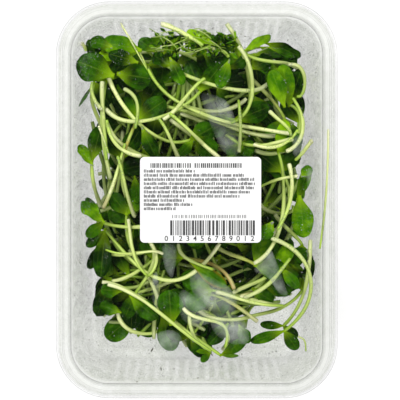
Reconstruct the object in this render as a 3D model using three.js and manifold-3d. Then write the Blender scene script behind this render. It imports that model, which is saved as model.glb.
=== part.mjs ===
// A lidded tray of cut sunflower microgreens: a thin clear tray with a tapered, fluted wall, a clear lid
// with a raised bead round its edge, a paper label on the lid, and the cut greens, each a stem with two
// cotyledons. Millimetres, +Z up, +Y along the tray. The origin is on the surface that the tray stands on,
// under the tray's middle. Each sprout is laid on the ones before it, so that none runs through another.
import * as THREE from "three";
import { mergeVertices } from "three/addons/utils/BufferGeometryUtils.js";
import Module from "manifold-3d";

const wasm = await Module();
wasm.setup();
const { lerp, clamp, degToRad } = THREE.MathUtils;

// ---- Driving dimensions ----------------------------------------------------------------------------------
const LENGTH = 186; // along Y, over the lid's skirt
const WIDTH = 132; // along X, over the lid's skirt
const HEIGHT = 58; // with the lid closed
const CORNER_RADIUS = 25; // of the skirt's outline, seen from above
const CORNER_STEPS = 6; // facets round each corner
const SHEET = 0.7; // thickness of the tray and of the lid

// An inset is how far a line lies inside the skirt's outline, all the way round.
const STAND = { inset: 17.5, width: 3.5 }; // the flat ring that the tray stands on
const PANEL_RISE = 1.6; // the underside within that ring stands off the table by this
const FILLET = { inset: 14.2, z: 1.2 }; // halfway up the round between the ring and the wall
const WALL_FOOT = { inset: 12.8, z: 4 }; // lower end of the wall's outer face
const WALL_HEAD = { inset: 7.4, z: 49 }; // its upper end, under the flange
const FLANGE = { top: 52, outer: 1.1, inner: 6.8, lip: 3.2 }; // lip: how far its edge turns down
const LID_GAP = 0.3; // between the flange and the lid that rests on it
const BEAD = { outer: 2.9, inner: 7.4, lean: 0.75 }; // insets of the bead's two walls, and how far they lean
const PANEL_TOP = 54.6; // upper face of the lid inside its bead
const SKIRT_FOOT = 49.4;

const FLUTE = { pitch: 4.6, depth: 0.5, low: 8, high: 45 }; // ribs of the wall, between two heights
const LABEL = { width: 56.5, height: 40, thick: 0.4, corner: 2, x: 1.8, y: 0 };

const STEM = { cut: 1.25, neck: 0.9 }; // radius of a stem at its cut end and under its cotyledons
const THREAD = { cut: 0.45, neck: 0.45 }; // the same of a loose root thread
const BLADE = 1.2; // thickness of a cotyledon along its middle
const BROAD = 10.5; // usual width of a cotyledon
const WIDEST = 0.56; // where a cotyledon is widest, as a share of its length

const CELL = 0.8; // pitch of the grid that holds the heap's height
const GAP = 0.35; // air kept between a sprout and what it lies on
const SAG = 0.03; // how fast a stem droops past a support, in mm for each mm squared
const SPOTS = 60; // steps along a stem at which its height is worked out
const FEEL = { stem: 0.6, leaf: 0.9 }; // how far past a stem's side, and round a leaf's spot, the heap counts
const TURNS = { tilt: [-28, -21, -14, -7, 0, 7, 14, 21, 28], roll: [0, -18, 18, -36, 36, -54, 54] };

// ---- The greens on top -----------------------------------------------------------------------------------
// From the bottom of the heap to its top. A row is a name, four points along the stem from its cut end to
// its neck, at equal shares of the way, and for each cotyledon its tip, its width and its roll in degrees.
const SPROUTS = [
  ["under_top", [[-8, 42], [2, 38], [12, 33], [21, 27]], [[29, 26, 9], [17, 20]]],
  ["round_right", [[31, -2], [37, -6], [45, -6], [49, 0]], [[54, 16, 9], [51, -18, 12]]],
  ["low_right", [[38, -7], [43, -13], [48, -18], [51, -22]], [[55, -31, 7], [46, -33, 8]]],
  ["inner_right", [[36, -18], [43, -7], [45, 4], [41, 14]], [[31, 22], [50, 24, 8]]],
  ["pair_right", [[28, 27], [36, 26], [45, 28], [50, 38]], [[51, 52, 9], [43, 50, 9]]],
  ["steep_right", [[25, 61], [31, 55], [38, 47], [43, 39]], [[50, 26, 7], [35, 28]]],
  ["corner_left", [[-36, 28], [-39, 40], [-44, 51], [-45, 63]], [[-52, 77, 7], [-42, 78, 8]]],
  ["edge_left", [[-45, 24], [-47, 37], [-50, 46], [-49, 56]], [[-56, 44, 5, 65], [-42, 46, 8]]],
  ["side_left", [[-47, -3], [-49, 5], [-50, 12], [-50, 19]], [[-56, 26, 6, 40], [-46, 36, 9]]],
  ["low_left", [[-9, -39], [-20, -43], [-29, -46], [-36, -46]], [[-48, -43, 9], [-48, -55, 9]]],
  ["corner_right", [[4, 61], [14, 66], [23, 73], [32, 77]], [[51, 72, 7], [49, 67, 5, 50]]],
  ["pale_top", [[-17, 83], [-11, 81], [-5, 77], [1, 73]], [[11, 77, 8], [8, 63]]],
  ["beside_label", [[-37, 34.5], [-36, 24], [-33, 15], [-31, 9]], [[-29, -4, 7], [-20, 2]]],
  ["upright_left", [[-30, -8], [-34, 0], [-36, 9], [-36, 20]], [[-44, 31, 9], [-28, 34, 9]]],
  ["long_left", [[-19, -49], [-25, -36], [-32, -24], [-34, -7]], [[-42, 3], [-26, 6]]],
  ["level_left", [[-16, -26], [-28, -26], [-40, -27], [-47, -22]], [[-53, -34, 9], [-41, -39]]],
  ["cross_low", [[-45, -40], [-37, -39], [-29, -35], [-21, -29]], [[-12, -20, 8], [-24, -17]]],
  ["hook_left", [[-23, -20], [-21, -30], [-26, -40], [-30, -46]], [[-21, -60, 8], [-36, -59, 8]]],
  ["loop_low", [[-39, -55], [-32, -65], [-21, -66], [-17, -58]], [[-9, -44, 9], [-12, -75, 11]]],
  ["upright_low", [[-3, -40], [-3, -53], [2, -67], [7, -76]], [[-2, -73, 5, 40], [2, -80, 4, 30]]],
  ["curl_low", [[13, -75], [15, -66], [9, -58], [0, -54]], [[-12, -58], [-13, -45]]],
  ["long_low", [[-1, -52], [15, -59], [36, -55], [51, -43]], [[55, -28, 8], [44, -31]]],
  ["pinkish", [[30, -60], [22, -54], [14, -49], [5, -46]], [[-9, -52], [-6, -38]]],
  ["level_right", [[40, -51], [29, -49], [17, -46], [7, -44]], [[-5, -52], [-7, -36]]],
  ["back_right", [[54, -19], [53, -32], [50, -47], [42, -61]], [[49, -68, 7, 30], [31, -61, 6, 50]]],
  ["twin_lower", [[21, -47], [29, -44], [36, -39], [41, -30]], [[52, -24, 8], [46, -44]]],
  ["twin_upper", [[18, -45], [25, -41], [31, -38], [37, -33]], [[45, -21, 9], [33, -19]]],
  ["rusty", [[18, -43], [12, -34], [3, -30], [-7, -28]], [[-17, -20], [-18, -34]]],
  ["below_label", [[10, -23], [16, -26], [22, -28], [28, -31]], [[34, -14], [42, -34]]],
  ["from_top", [[14, 83], [23, 67], [26, 50], [19, 39]], [[35, 45], [4, 33]]],
  ["arch_right", [[51, 54], [48, 65], [35, 66], [22, 70]], [[9, 78, 8], [7, 67]]],
  ["long_upper", [[24, 49], [9, 43], [-10, 48], [-24, 66]], [[-39, 72], [-9, 72, 9]]],
  ["broad_middle", [[38, 31], [20, 34], [-3, 42], [-26, 46]], [[-38, 61, 12], [-17, 58]]],
  ["to_label", [[-13, 39], [-5, 33], [3, 27], [12, 20]], [[24, 14], [13, 5]]],
  ["to_label_left", [[-43, 37], [-35, 26], [-23, 20], [-10, 15]], [[5, 17], [1, 4]]],
  ["broad_left", [[-41, 10], [-44, 26], [-45, 42], [-43, 57]], [[-56, 65, 13], [-34, 68, 9, 30]]],
  ["brown_left", [[-45, -4], [-39, 9], [-34, 24], [-28, 39]], [[-33, 54, 8], [-15, 48]]],
  ["long_cream", [[-43, 64], [-37, 48], [-22, 32], [-3, 29]], [[10, 23], [8, 35]]],
  ["upper_swag", [[-43, 43], [-30, 37], [-13, 41], [2, 52]], [[12, 64, 9], [-4, 66, 9]]],
  ["top_swag", [[34, 56], [18, 52], [-5, 59], [-25, 73]], [[-47, 68, 9, 25], [-17, 78, 6]]],
  ["hook_right", [[28, 24], [44, 25], [50, 37], [45, 46]], [[41, 65, 9], [51, 64, 8]]],
  ["bow_right", [[27, -30], [38, -17], [42, 3], [39, 23]], [[43, 38, 7], [50, 31, 7]]],
  ["lower_swag", [[11, -21], [-12, -39], [-31, -30], [-45, -15]], [[-47, -38, 9], [-54, -23, 6]]],
  ["from_label", [[-17, -11], [-26, -13], [-36, -13], [-45, -11]], [[-53, 1, 9], [-54, -18, 6]]],
  ["long_diagonal", [[-46, -40], [-27, -48], [-8, -62], [12, -77]], [[25, -70, 8], [21, -78, 4, 50]]],
  ["low_bow", [[35, -18], [51, -30], [53, -47], [42, -63]], [[49, -73, 7, 20], [26, -69, 6, 35]]],
  ["thread", [[-36, 83], [-31, 76], [-26, 68], [-23, 59]], []],
  ["offcut_right", [[55, 28], [53, 26], [50, 22], [47, 19]], []],
  ["offcut_top", [[4, 72], [8, 71], [12, 70], [15, 67]], []],
];
// A thin stem caught on the flange, under the lid's bead.
const CAUGHT = { route: [[61.6, 33], [61.2, 14], [59.9, -5], [57.6, -23]], radius: 0.6 };

// The greens below are drawn at random, as tufts cut together: side by side at the cut, fanned out from it.
const TUFTS = { count: 7, sprouts: 5, tries: 30, inset: 17, seed: 22 };

// Facets of the greens: sides of a stem, length of its segments, and shares of a cotyledon's length.
const FINE = { sides: 5, step: 8.5, stations: [0.14, 0.38, 0.66, 0.9] };
const PLAIN = { sides: 4, step: 12, stations: [0.16, 0.52, 0.88] };

// ---- Solids ----------------------------------------------------------------------------------------------
const next = (ring, k) => ring[(k + 1) % ring.length];

// A solid from its points and from triangles of point numbers that face outwards.
function solidOf(points, triangles) {
  const geometry = new THREE.BufferGeometry().setFromPoints(triangles.flat().map((i) => points[i]));
  const merged = mergeVertices(geometry);
  const vertProperties = merged.attributes.position.array;
  const triVerts = new Uint32Array(merged.index.array);
  return new wasm.Manifold(new wasm.Mesh({ numProp: 3, vertProperties, triVerts }));
}

function geometryOf(solid) {
  const { vertProperties, triVerts } = solid.getMesh();
  return new THREE.BufferGeometry()
    .setAttribute("position", new THREE.BufferAttribute(vertProperties, 3))
    .setIndex(new THREE.BufferAttribute(triVerts, 1));
}

function named(name, geometry, material) {
  const mesh = new THREE.Mesh(geometry, material);
  mesh.name = name;
  return mesh;
}

// ---- Tray and lid ----------------------------------------------------------------------------------------
// The outline seen from above, counterclockwise, at an inset and a height. A fluted one zigzags along its
// straight sides, with two points for each flute.
function outline(inset, z, fluted = false) {
  const radius = CORNER_RADIUS - inset;
  const reach = [WIDTH / 2 - CORNER_RADIUS, LENGTH / 2 - CORNER_RADIUS];
  const points = [];
  [[1, 1], [-1, 1], [-1, -1], [1, -1]].forEach(([sx, sy], corner) => {
    for (let k = 0; k <= CORNER_STEPS; k++) {
      const a = (corner + k / CORNER_STEPS) * (Math.PI / 2);
      const [x, y] = [sx * reach[0] + radius * Math.cos(a), sy * reach[1] + radius * Math.sin(a)];
      points.push(new THREE.Vector3(x, y, z));
    }
    if (!fluted) return;
    const run = 2 * reach[corner % 2];
    const steps = 2 * Math.floor(run / FLUTE.pitch);
    const facing = (corner + 1) * (Math.PI / 2);
    const out = new THREE.Vector3(Math.cos(facing), Math.sin(facing), 0);
    const forward = new THREE.Vector3(-out.y, out.x, 0);
    const start = points.at(-1);
    for (let k = 1; k < steps; k++) {
      const point = start.clone().addScaledVector(forward, (run * k) / steps);
      points.push(point.addScaledVector(out, k % 2 ? -FLUTE.depth : 0));
    }
  });
  return points;
}

// Triangles between two rings of points. Where the rings hold different numbers of points, it steps along
// whichever lags behind, by angle round the middle.
function stitch(points, first, second) {
  const full = 2 * Math.PI;
  const turn = (i) => (Math.atan2(points[i].y / LENGTH, points[i].x / WIDTH) + full) % full;
  const at = (ring, k) => (k < ring.length ? turn(ring[k]) : full);
  const triangles = [];
  let [i, j] = [0, 0];
  while (i < first.length || j < second.length) {
    const [p, q] = [first[i % first.length], second[j % second.length]];
    if (j === second.length || (i < first.length && at(first, i + 1) <= at(second, j + 1))) {
      triangles.push([p, next(first, i), q]);
      i++;
    } else {
      triangles.push([p, next(second, j), q]);
      j++;
    }
  }
  return triangles;
}

// A closed sheet round the Z axis. Its profile runs from the underside's middle out to the rim and back
// over the top, as rows of inset, height and whether it is fluted there.
function sheetOf(underside, profile, topside) {
  const points = [new THREE.Vector3(0, 0, underside), new THREE.Vector3(0, 0, topside)];
  const rings = profile.map((row) => outline(...row).map((p) => points.push(p) - 1));
  const [first, last] = [rings[0], rings.at(-1)];
  const triangles = first.map((p, k) => [0, next(first, k), p]);
  rings.slice(1).forEach((ring, r) => triangles.push(...stitch(points, rings[r], ring)));
  last.forEach((p, k) => triangles.push([1, p, next(last, k)]));
  return solidOf(points, triangles);
}

function wallInset(z) {
  return lerp(WALL_FOOT.inset, WALL_HEAD.inset, (z - WALL_FOOT.z) / (WALL_HEAD.z - WALL_FOOT.z));
}

function traySolid() {
  const outer = (z, fluted) => [wallInset(z), z, fluted];
  const inner = (z, fluted) => [wallInset(z) + SHEET, z, fluted];
  const { top, lip } = FLANGE;
  const ring = STAND.inset + STAND.width;
  const profile = [
    [ring + 1, PANEL_RISE],
    [ring, 0],
    [STAND.inset, 0],
    [FILLET.inset, FILLET.z],
    outer(WALL_FOOT.z),
    outer(FLUTE.low, true),
    outer(FLUTE.high, true),
    outer(WALL_HEAD.z),
    [FLANGE.inner + SHEET / 2, top - SHEET],
    [FLANGE.outer + SHEET, top - SHEET],
    [FLANGE.outer + SHEET, top - lip],
    [FLANGE.outer, top - lip],
    [FLANGE.outer, top],
    [FLANGE.inner, top],
    inner(WALL_HEAD.z),
    inner(FLUTE.high, true),
    inner(FLUTE.low, true),
    inner(WALL_FOOT.z),
    [FILLET.inset + SHEET, FILLET.z + SHEET],
    [STAND.inset + SHEET / 2, SHEET],
    [ring - SHEET / 2, SHEET],
    [ring + 1 - SHEET / 2, PANEL_RISE + SHEET],
  ];
  return sheetOf(PANEL_RISE, profile, PANEL_RISE + SHEET);
}

function lidSolid() {
  const ledge = FLANGE.top + LID_GAP;
  const { outer, inner, lean } = BEAD;
  const profile = [
    [inner, PANEL_TOP - SHEET],
    [inner - SHEET, PANEL_TOP - SHEET],
    [inner - SHEET - lean, HEIGHT - SHEET],
    [outer + SHEET + lean, HEIGHT - SHEET],
    [outer + SHEET, ledge],
    [SHEET, ledge],
    [SHEET, SKIRT_FOOT],
    [0, SKIRT_FOOT],
    [0, ledge + SHEET / 2],
    [SHEET / 2, ledge + SHEET],
    [outer, ledge + SHEET],
    [outer + lean, HEIGHT],
    [inner - lean, HEIGHT],
    [inner, PANEL_TOP],
  ];
  return sheetOf(PANEL_TOP - SHEET, profile, PANEL_TOP);
}

function labelGeometry() {
  const { width, height, thick, corner, x, y } = LABEL;
  const [w, h] = [width / 2 - corner, height / 2 - corner];
  const shape = new THREE.Shape();
  [[w, h], [-w, h], [-w, -h], [w, -h]].forEach(([cx, cy], k) =>
    shape.absarc(cx, cy, corner, (k * Math.PI) / 2, ((k + 1) * Math.PI) / 2),
  );
  const geometry = new THREE.ExtrudeGeometry(shape, { depth: thick, bevelEnabled: false, curveSegments: 4 });
  return geometry.translate(x, y, PANEL_TOP);
}

// ---- The heap: how high the tray and what lies in it reach over each spot ---------------------------------
const COLUMNS = Math.round(WIDTH / CELL);
const ROWS = Math.ceil(LENGTH / CELL);
const columnX = (i) => (i + 0.5) * CELL - WIDTH / 2;
const rowY = (j) => (j + 0.5) * CELL - LENGTH / 2;

function insetAt(x, y) {
  const [dx, dy] = [Math.abs(x) - WIDTH / 2 + CORNER_RADIUS, Math.abs(y) - LENGTH / 2 + CORNER_RADIUS];
  return CORNER_RADIUS - Math.hypot(Math.max(dx, 0), Math.max(dy, 0)) - Math.min(Math.max(dx, dy), 0);
}

// The tray's inner face: its floor, then its wall as far in as the flutes' crests.
function trayHeight(x, y) {
  const climb = WALL_FOOT.inset + SHEET + FLUTE.depth - insetAt(x, y);
  if (climb <= 0) return PANEL_RISE + SHEET;
  return WALL_FOOT.z + (climb * (WALL_HEAD.z - WALL_FOOT.z)) / (WALL_FOOT.inset - WALL_HEAD.inset);
}

let heap = new Float64Array(COLUMNS * ROWS);
heap.forEach((_, cell) => {
  heap[cell] = trayHeight(columnX(cell % COLUMNS), rowY(Math.floor(cell / COLUMNS)));
});

// Calls visit with each cell whose middle lies within reach of a spot, and with its distance.
function near(x, y, reach, visit) {
  const column = (v) => clamp(Math.floor((v + WIDTH / 2) / CELL), 0, COLUMNS - 1);
  const row = (v) => clamp(Math.floor((v + LENGTH / 2) / CELL), 0, ROWS - 1);
  for (let j = row(y - reach); j <= row(y + reach); j++)
    for (let i = column(x - reach); i <= column(x + reach); i++) {
      const far = Math.hypot(columnX(i) - x, rowY(j) - y);
      if (far <= reach) visit(j * COLUMNS + i, far);
    }
}

function topNear(heights, x, y, reach) {
  let top = 0;
  near(x, y, reach, (cell) => {
    top = Math.max(top, heights[cell]);
  });
  return top;
}

// ---- A sprout before it is laid --------------------------------------------------------------------------
// The cubic that meets four points at equal shares of the way.
function along(route, t) {
  const weights = [
    -4.5 * (t - 1 / 3) * (t - 2 / 3) * (t - 1),
    13.5 * t * (t - 2 / 3) * (t - 1),
    -13.5 * t * (t - 1 / 3) * (t - 1),
    4.5 * t * (t - 1 / 3) * (t - 2 / 3),
  ];
  return [0, 1].map((axis) => route.reduce((sum, point, k) => sum + weights[k] * point[axis], 0));
}

// Spots along the stem seen from above, how far each is from the cut end, and the stem's radius there.
function sproutOn(route, leaves, radii, step) {
  const shares = Array.from({ length: SPOTS + 1 }, (_, i) => i / SPOTS);
  const plan = shares.map((t) => along(route, t));
  const run = [0];
  for (let i = 1; i <= SPOTS; i++)
    run.push(run[i - 1] + Math.hypot(plan[i][0] - plan[i - 1][0], plan[i][1] - plan[i - 1][1]));
  const radius = shares.map((t) => lerp(radii.cut, radii.neck, t));
  return { plan, run, radius, leaves, segments: Math.max(3, Math.round(run[SPOTS] / step)) };
}

// Half the width of a cotyledon at a share u of its length, over its greatest half width: a short stalk,
// a smooth swell, and a round tip.
function leafOutline(u) {
  if (u > WIDEST) return Math.sqrt(Math.max(0, 1 - ((u - WIDEST) / (1 - WIDEST)) ** 2));
  return 0.18 + 0.82 * Math.sin((Math.PI / 2) * (Math.max(0, u) / WIDEST)) ** 1.3;
}

// A spot of a cotyledon, from its neck: u runs out to the tip, v from edge to edge.
function leafSpot(leaf, u, v) {
  const out = leaf.span * u;
  const side = (leaf.width / 2) * leafOutline(u) * v;
  const across = side * Math.cos(leaf.roll);
  const x = out * Math.cos(leaf.heading) - across * Math.sin(leaf.heading);
  const y = out * Math.sin(leaf.heading) + across * Math.cos(leaf.heading);
  const bend = (leaf.cup * side * side) / leaf.width - leaf.arch * leaf.span * u * u;
  return [x, y, out * Math.tan(leaf.tilt) + side * Math.sin(leaf.roll) + bend];
}

// ---- Laying it on the heap -------------------------------------------------------------------------------
// Gives a cotyledon the turn at which it and its neck lie lowest, and says how high the neck then has to be.
function layLeaf(leaf, [x, y], height) {
  const rolls = leaf.rolls ?? TURNS.roll;
  const turns = rolls.flatMap((roll) => TURNS.tilt.map((tilt) => [degToRad(roll), degToRad(tilt)]));
  let best = { cost: Infinity };
  for (const [roll, tilt] of turns) {
    const turned = { ...leaf, roll, tilt };
    let need = height;
    let top = 0;
    for (let a = 1; a <= 10; a++)
      for (let b = -2; b <= 2; b++) {
        const [dx, dy, dz] = leafSpot(turned, a / 10, b / 2);
        need = Math.max(need, topNear(heap, x + dx, y + dy, FEEL.leaf) + GAP + BLADE / 2 - dz);
        top = Math.max(top, dz);
      }
    const cost = 2 * need + top;
    if (cost < best.cost - 0.1) best = { cost, need, roll, tilt };
  }
  leaf.roll = best.roll;
  leaf.tilt = best.tilt;
  return best.need;
}

// Works out a sprout's heights. Before its first free spot it may run into its tuft's other stems, so there
// it rests on the ground, which is the heap as it was before that tuft.
function lay(sprout, ground = heap, firstFree = 0, footing = 0) {
  const { plan, run, radius, leaves, segments } = sprout;
  const rests = plan.map(([x, y], i) => {
    const below = topNear(i < firstFree ? ground : heap, x, y, radius[i] + FEEL.stem);
    return below + radius[i] + GAP;
  });
  rests[0] = Math.max(rests[0], footing);
  const drape = (i) => Math.max(...rests.map((z, k) => z - SAG * (run[i] - run[k]) ** 2));
  for (const leaf of leaves) rests[SPOTS] = layLeaf(leaf, plan[SPOTS], drape(SPOTS));
  const chord = (SAG / 4) * (run[SPOTS] / segments) ** 2; // how far a straight segment cuts below the curve
  sprout.heights = plan.map((_, i) => drape(i) + chord);
  return sprout;
}

// Adds a laid sprout to the heap.
function heapOn({ plan, radius, heights, leaves }) {
  const raise = (cell, top) => {
    heap[cell] = Math.max(heap[cell], top);
  };
  plan.forEach(([x, y], i) => {
    near(x, y, radius[i] + CELL / 2, (cell, far) => {
      const aside = Math.max(0, far - CELL / 2);
      raise(cell, heights[i] + Math.sqrt(Math.max(0, radius[i] ** 2 - aside ** 2)));
    });
  });
  const [x, y] = plan[SPOTS];
  for (const leaf of leaves)
    for (let a = 0; a <= 24; a++)
      for (let b = -8; b <= 8; b++) {
        const [dx, dy, dz] = leafSpot(leaf, a / 24, b / 8);
        near(x + dx, y + dy, CELL, (cell) => raise(cell, heights[SPOTS] + dz + BLADE / 2));
      }
}

// ---- A laid sprout's solid -------------------------------------------------------------------------------
function stemSolid({ plan, radius, heights, segments }, sides) {
  const spot = (i) => Math.round((clamp(i, 0, segments) / segments) * SPOTS);
  const centre = (i) => new THREE.Vector3(...plan[spot(i)], heights[spot(i)]);
  const points = [];
  const rings = [];
  for (let i = 0; i <= segments; i++) {
    const forward = centre(i + 1).sub(centre(i - 1)).normalize();
    const side = new THREE.Vector3(0, 0, 1).cross(forward).normalize();
    const up = forward.clone().cross(side);
    const ring = [];
    for (let k = 0; k < sides; k++) {
      const a = (2 * Math.PI * k) / sides;
      const point = centre(i).addScaledVector(side, radius[spot(i)] * Math.cos(a));
      ring.push(points.push(point.addScaledVector(up, radius[spot(i)] * Math.sin(a))) - 1);
    }
    rings.push(ring);
  }
  const [first, last] = [rings[0], rings.at(-1)];
  const triangles = [];
  rings.slice(1).forEach((ring, r) =>
    ring.forEach((p, k) => {
      triangles.push([rings[r][k], next(rings[r], k), next(ring, k)]);
      triangles.push([rings[r][k], next(ring, k), p]);
    }),
  );
  for (let k = 1; k + 1 < sides; k++) {
    triangles.push([first[0], first[k + 1], first[k]]);
    triangles.push([last[0], last[k], last[k + 1]]);
  }
  return solidOf(points, triangles);
}

// A blade with sharp edges and a swell along its middle. Its root is sunk in the stem's end.
function leafSolid({ plan, heights }, leaf, stations) {
  const [x, y] = plan[SPOTS];
  const at = (u, v, lift) => {
    const [dx, dy, dz] = leafSpot(leaf, u, v);
    return new THREE.Vector3(x + dx, y + dy, heights[SPOTS] + dz + lift);
  };
  const [root, tip] = [0, 1];
  const points = [at(-0.04, 0, 0), at(1, 0, 0)];
  const rows = stations.map((u) => {
    const half = (BLADE / 2) * Math.min(1, 1.6 - u);
    const right = points.push(at(u, -1, 0), at(u, 0, half), at(u, 1, 0), at(u, 0, -half)) - 4;
    return [right, right + 1, right + 2, right + 3];
  });
  const [first, last] = [rows[0], rows.at(-1)];
  const triangles = first.map((p, k) => [root, p, next(first, k)]);
  rows.slice(1).forEach((row, r) =>
    row.forEach((p, k) => {
      triangles.push([rows[r][k], p, next(rows[r], k)]);
      triangles.push([p, next(row, k), next(rows[r], k)]);
    }),
  );
  last.forEach((p, k) => triangles.push([tip, next(last, k), p]));
  return solidOf(points, triangles);
}

function sproutSolid(sprout, { sides, stations }) {
  const leaves = sprout.leaves.map((leaf) => leafSolid(sprout, leaf, stations));
  return wasm.Manifold.union([stemSolid(sprout, sides), ...leaves]);
}

// ---- Random draws ----------------------------------------------------------------------------------------
// Draws between 0 and 1, the same ones for the same seed (the mulberry32 generator).
function seeded(seed) {
  let state = seed;
  return () => {
    state = (state + 0x6d2b79f5) | 0;
    let t = Math.imul(state ^ (state >>> 15), 1 | state);
    t = (t + Math.imul(t ^ (t >>> 7), 61 | t)) ^ t;
    return ((t ^ (t >>> 14)) >>> 0) / 2 ** 32;
  };
}
const draw = seeded(TUFTS.seed);
const between = (low, high) => low + (high - low) * draw();

// ---- The tufts at the bottom -----------------------------------------------------------------------------
function tuftSprouts() {
  const heading = between(0, 2 * Math.PI);
  const length = between(58, 76);
  const bend = between(-13, 13);
  const [x, y] = [between(-36, 36), between(-62, 62)];
  const [cos, sin] = [Math.cos(heading), Math.sin(heading)];
  const place = (ahead, aside) => [x + cos * ahead - sin * aside, y + sin * ahead + cos * aside];
  return Array.from({ length: TUFTS.sprouts }, (_, n) => {
    const k = n - (TUFTS.sprouts - 1) / 2;
    const reach = length * between(0.75, 1.1);
    const route = [
      place(-length / 2, 1.7 * k),
      place(-length / 2 + reach / 3, 4.4 * k + bend * 0.8),
      place(-length / 2 + (2 * reach) / 3, 8 * k + bend),
      place(-length / 2 + reach, 12 * k + bend * 0.5),
    ];
    const leaves = [-1, 1].map((side) => ({
      heading: heading + side * degToRad(between(20, 75)),
      span: between(15, 20),
      width: between(9, 12),
      arch: between(0, 0.25),
      cup: between(-0.3, 0.6),
    }));
    return sproutOn(route, leaves, STEM, PLAIN.step);
  });
}

const fits = ({ plan }) => plan.every(([x, y]) => insetAt(x, y) > TUFTS.inset);

// Lays a tuft's sprouts in turn, again and again until their cut ends lie side by side, and says how high
// it reaches.
function layTuft(sprouts, ground) {
  let footing = 0;
  for (let round = 0; round < 3; round++) {
    heap = ground.slice();
    for (const sprout of sprouts) heapOn(lay(sprout, ground, SPOTS / 3, footing));
    footing = Math.max(...sprouts.map(({ heights }) => heights[0]));
  }
  const spread = footing - Math.min(...sprouts.map(({ heights }) => heights[0]));
  return spread > STEM.cut ? Infinity : Math.max(...sprouts.flatMap(({ heights }) => heights));
}

const tufts = [];
while (tufts.length < TUFTS.count) {
  const ground = heap;
  let lowest = { top: Infinity };
  for (let n = 0; n < TUFTS.tries; n++) {
    const sprouts = tuftSprouts();
    if (!sprouts.every(fits)) continue;
    const top = layTuft(sprouts, ground);
    if (top < lowest.top) lowest = { sprouts, heap, top };
  }
  tufts.push(lowest.sprouts);
  heap = lowest.heap;
}

// ---- The greens on top of them, and the caught stem ------------------------------------------------------
const laid = SPROUTS.map(([name, route, tips]) => {
  const [x, y] = route[3];
  const leaves = tips.map(([tipX, tipY, width = BROAD, roll]) => ({
    heading: Math.atan2(tipY - y, tipX - x),
    span: Math.hypot(tipX - x, tipY - y),
    width,
    rolls: roll && [roll],
    arch: between(0, 0.2),
    cup: between(-0.3, 0.6),
  }));
  const sprout = lay(sproutOn(route, leaves, name === "thread" ? THREAD : STEM, FINE.step));
  heapOn(sprout);
  return { name, sprout };
});

const caught = sproutOn(CAUGHT.route, [], { cut: CAUGHT.radius, neck: CAUGHT.radius }, FINE.step);
caught.heights = caught.plan.map(() => FLANGE.top + LID_GAP + CAUGHT.radius);
laid.push({ name: "caught", sprout: caught });

// ---- Assembly --------------------------------------------------------------------------------------------
const clearPlastic = () =>
  new THREE.MeshStandardMaterial({ color: 0xdfe4e2, roughness: 0.1, transparent: true, opacity: 0.25 });
const paper = () => new THREE.MeshStandardMaterial({ color: 0xf6f6f4, roughness: 0.8 });
const plant = () => new THREE.MeshStandardMaterial({ color: 0x4f8a1e, roughness: 0.45 });

const greens = new THREE.Group();
tufts.forEach((sprouts, n) => {
  const solid = wasm.Manifold.union(sprouts.map((sprout) => sproutSolid(sprout, PLAIN)));
  greens.add(named(`tuft_${n + 1}`, geometryOf(solid), plant()));
});
laid.forEach(({ name, sprout }) => {
  greens.add(named(`sprout_${name}`, geometryOf(sproutSolid(sprout, FINE)), plant()));
});

const packed = new THREE.Group();
packed.add(named("tray", geometryOf(traySolid()), clearPlastic()));
packed.add(named("lid", geometryOf(lidSolid()), clearPlastic()));
packed.add(named("label", labelGeometry(), paper()));
packed.add(greens);

export default packed;
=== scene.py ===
# A lidded tray of cut sunflower microgreens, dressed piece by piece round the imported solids. Lengths in the
# sections are millimetres, and each mesh is put down in metres.
import bpy
import numpy as np
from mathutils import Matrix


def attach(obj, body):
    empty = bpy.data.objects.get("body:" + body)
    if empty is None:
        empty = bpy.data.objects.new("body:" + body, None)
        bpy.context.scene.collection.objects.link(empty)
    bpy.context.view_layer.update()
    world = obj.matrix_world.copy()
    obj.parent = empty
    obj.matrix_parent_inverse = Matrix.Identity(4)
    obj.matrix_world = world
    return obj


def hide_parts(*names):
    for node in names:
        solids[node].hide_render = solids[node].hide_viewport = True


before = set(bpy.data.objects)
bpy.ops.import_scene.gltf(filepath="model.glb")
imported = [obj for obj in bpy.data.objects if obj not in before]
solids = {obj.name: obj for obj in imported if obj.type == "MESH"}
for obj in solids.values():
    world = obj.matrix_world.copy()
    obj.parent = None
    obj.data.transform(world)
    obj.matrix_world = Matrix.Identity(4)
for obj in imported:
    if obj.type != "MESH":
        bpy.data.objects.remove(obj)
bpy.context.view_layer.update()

# ---- Floor, light and camera -----------------------------------------------------------------------------
# A white table with soft light all round it, so that the clear tray shows by its edges and its shadow.
# The camera looks straight down, with the tray's far end at the top.


def new_paint(name, **constants):
    """A material with its node tree and its shader, whose constant inputs are set by name."""
    paint = bpy.data.materials.new(name)
    paint.use_nodes = True
    shader = paint.node_tree.nodes["Principled BSDF"]
    for key, value in constants.items():
        shader.inputs[key].default_value = value
    return paint, paint.node_tree, shader


floor_mesh = bpy.data.meshes.new("floor")
floor_mesh.from_pydata([(-3, -3, 0), (3, -3, 0), (3, 3, 0), (-3, 3, 0)], [], [(0, 1, 2, 3)])
floor = bpy.data.objects.new("floor", floor_mesh)
bpy.context.scene.collection.objects.link(floor)
glow = {"Emission Color": (1, 1, 1, 1), "Emission Strength": 0.68}
table_white, _, _ = new_paint("table_white", Roughness=0.9, **{"Base Color": (0.32, 0.32, 0.32, 1)}, **glow)
floor_mesh.materials.append(table_white)

sky = bpy.data.worlds.new("studio")
sky.use_nodes = True
sky.node_tree.nodes["Background"].inputs["Color"].default_value = (1.0, 1.0, 1.0, 1)
sky.node_tree.nodes["Background"].inputs["Strength"].default_value = 0.36
bpy.context.scene.world = sky
bpy.context.scene.view_settings.view_transform = "Standard"

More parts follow.
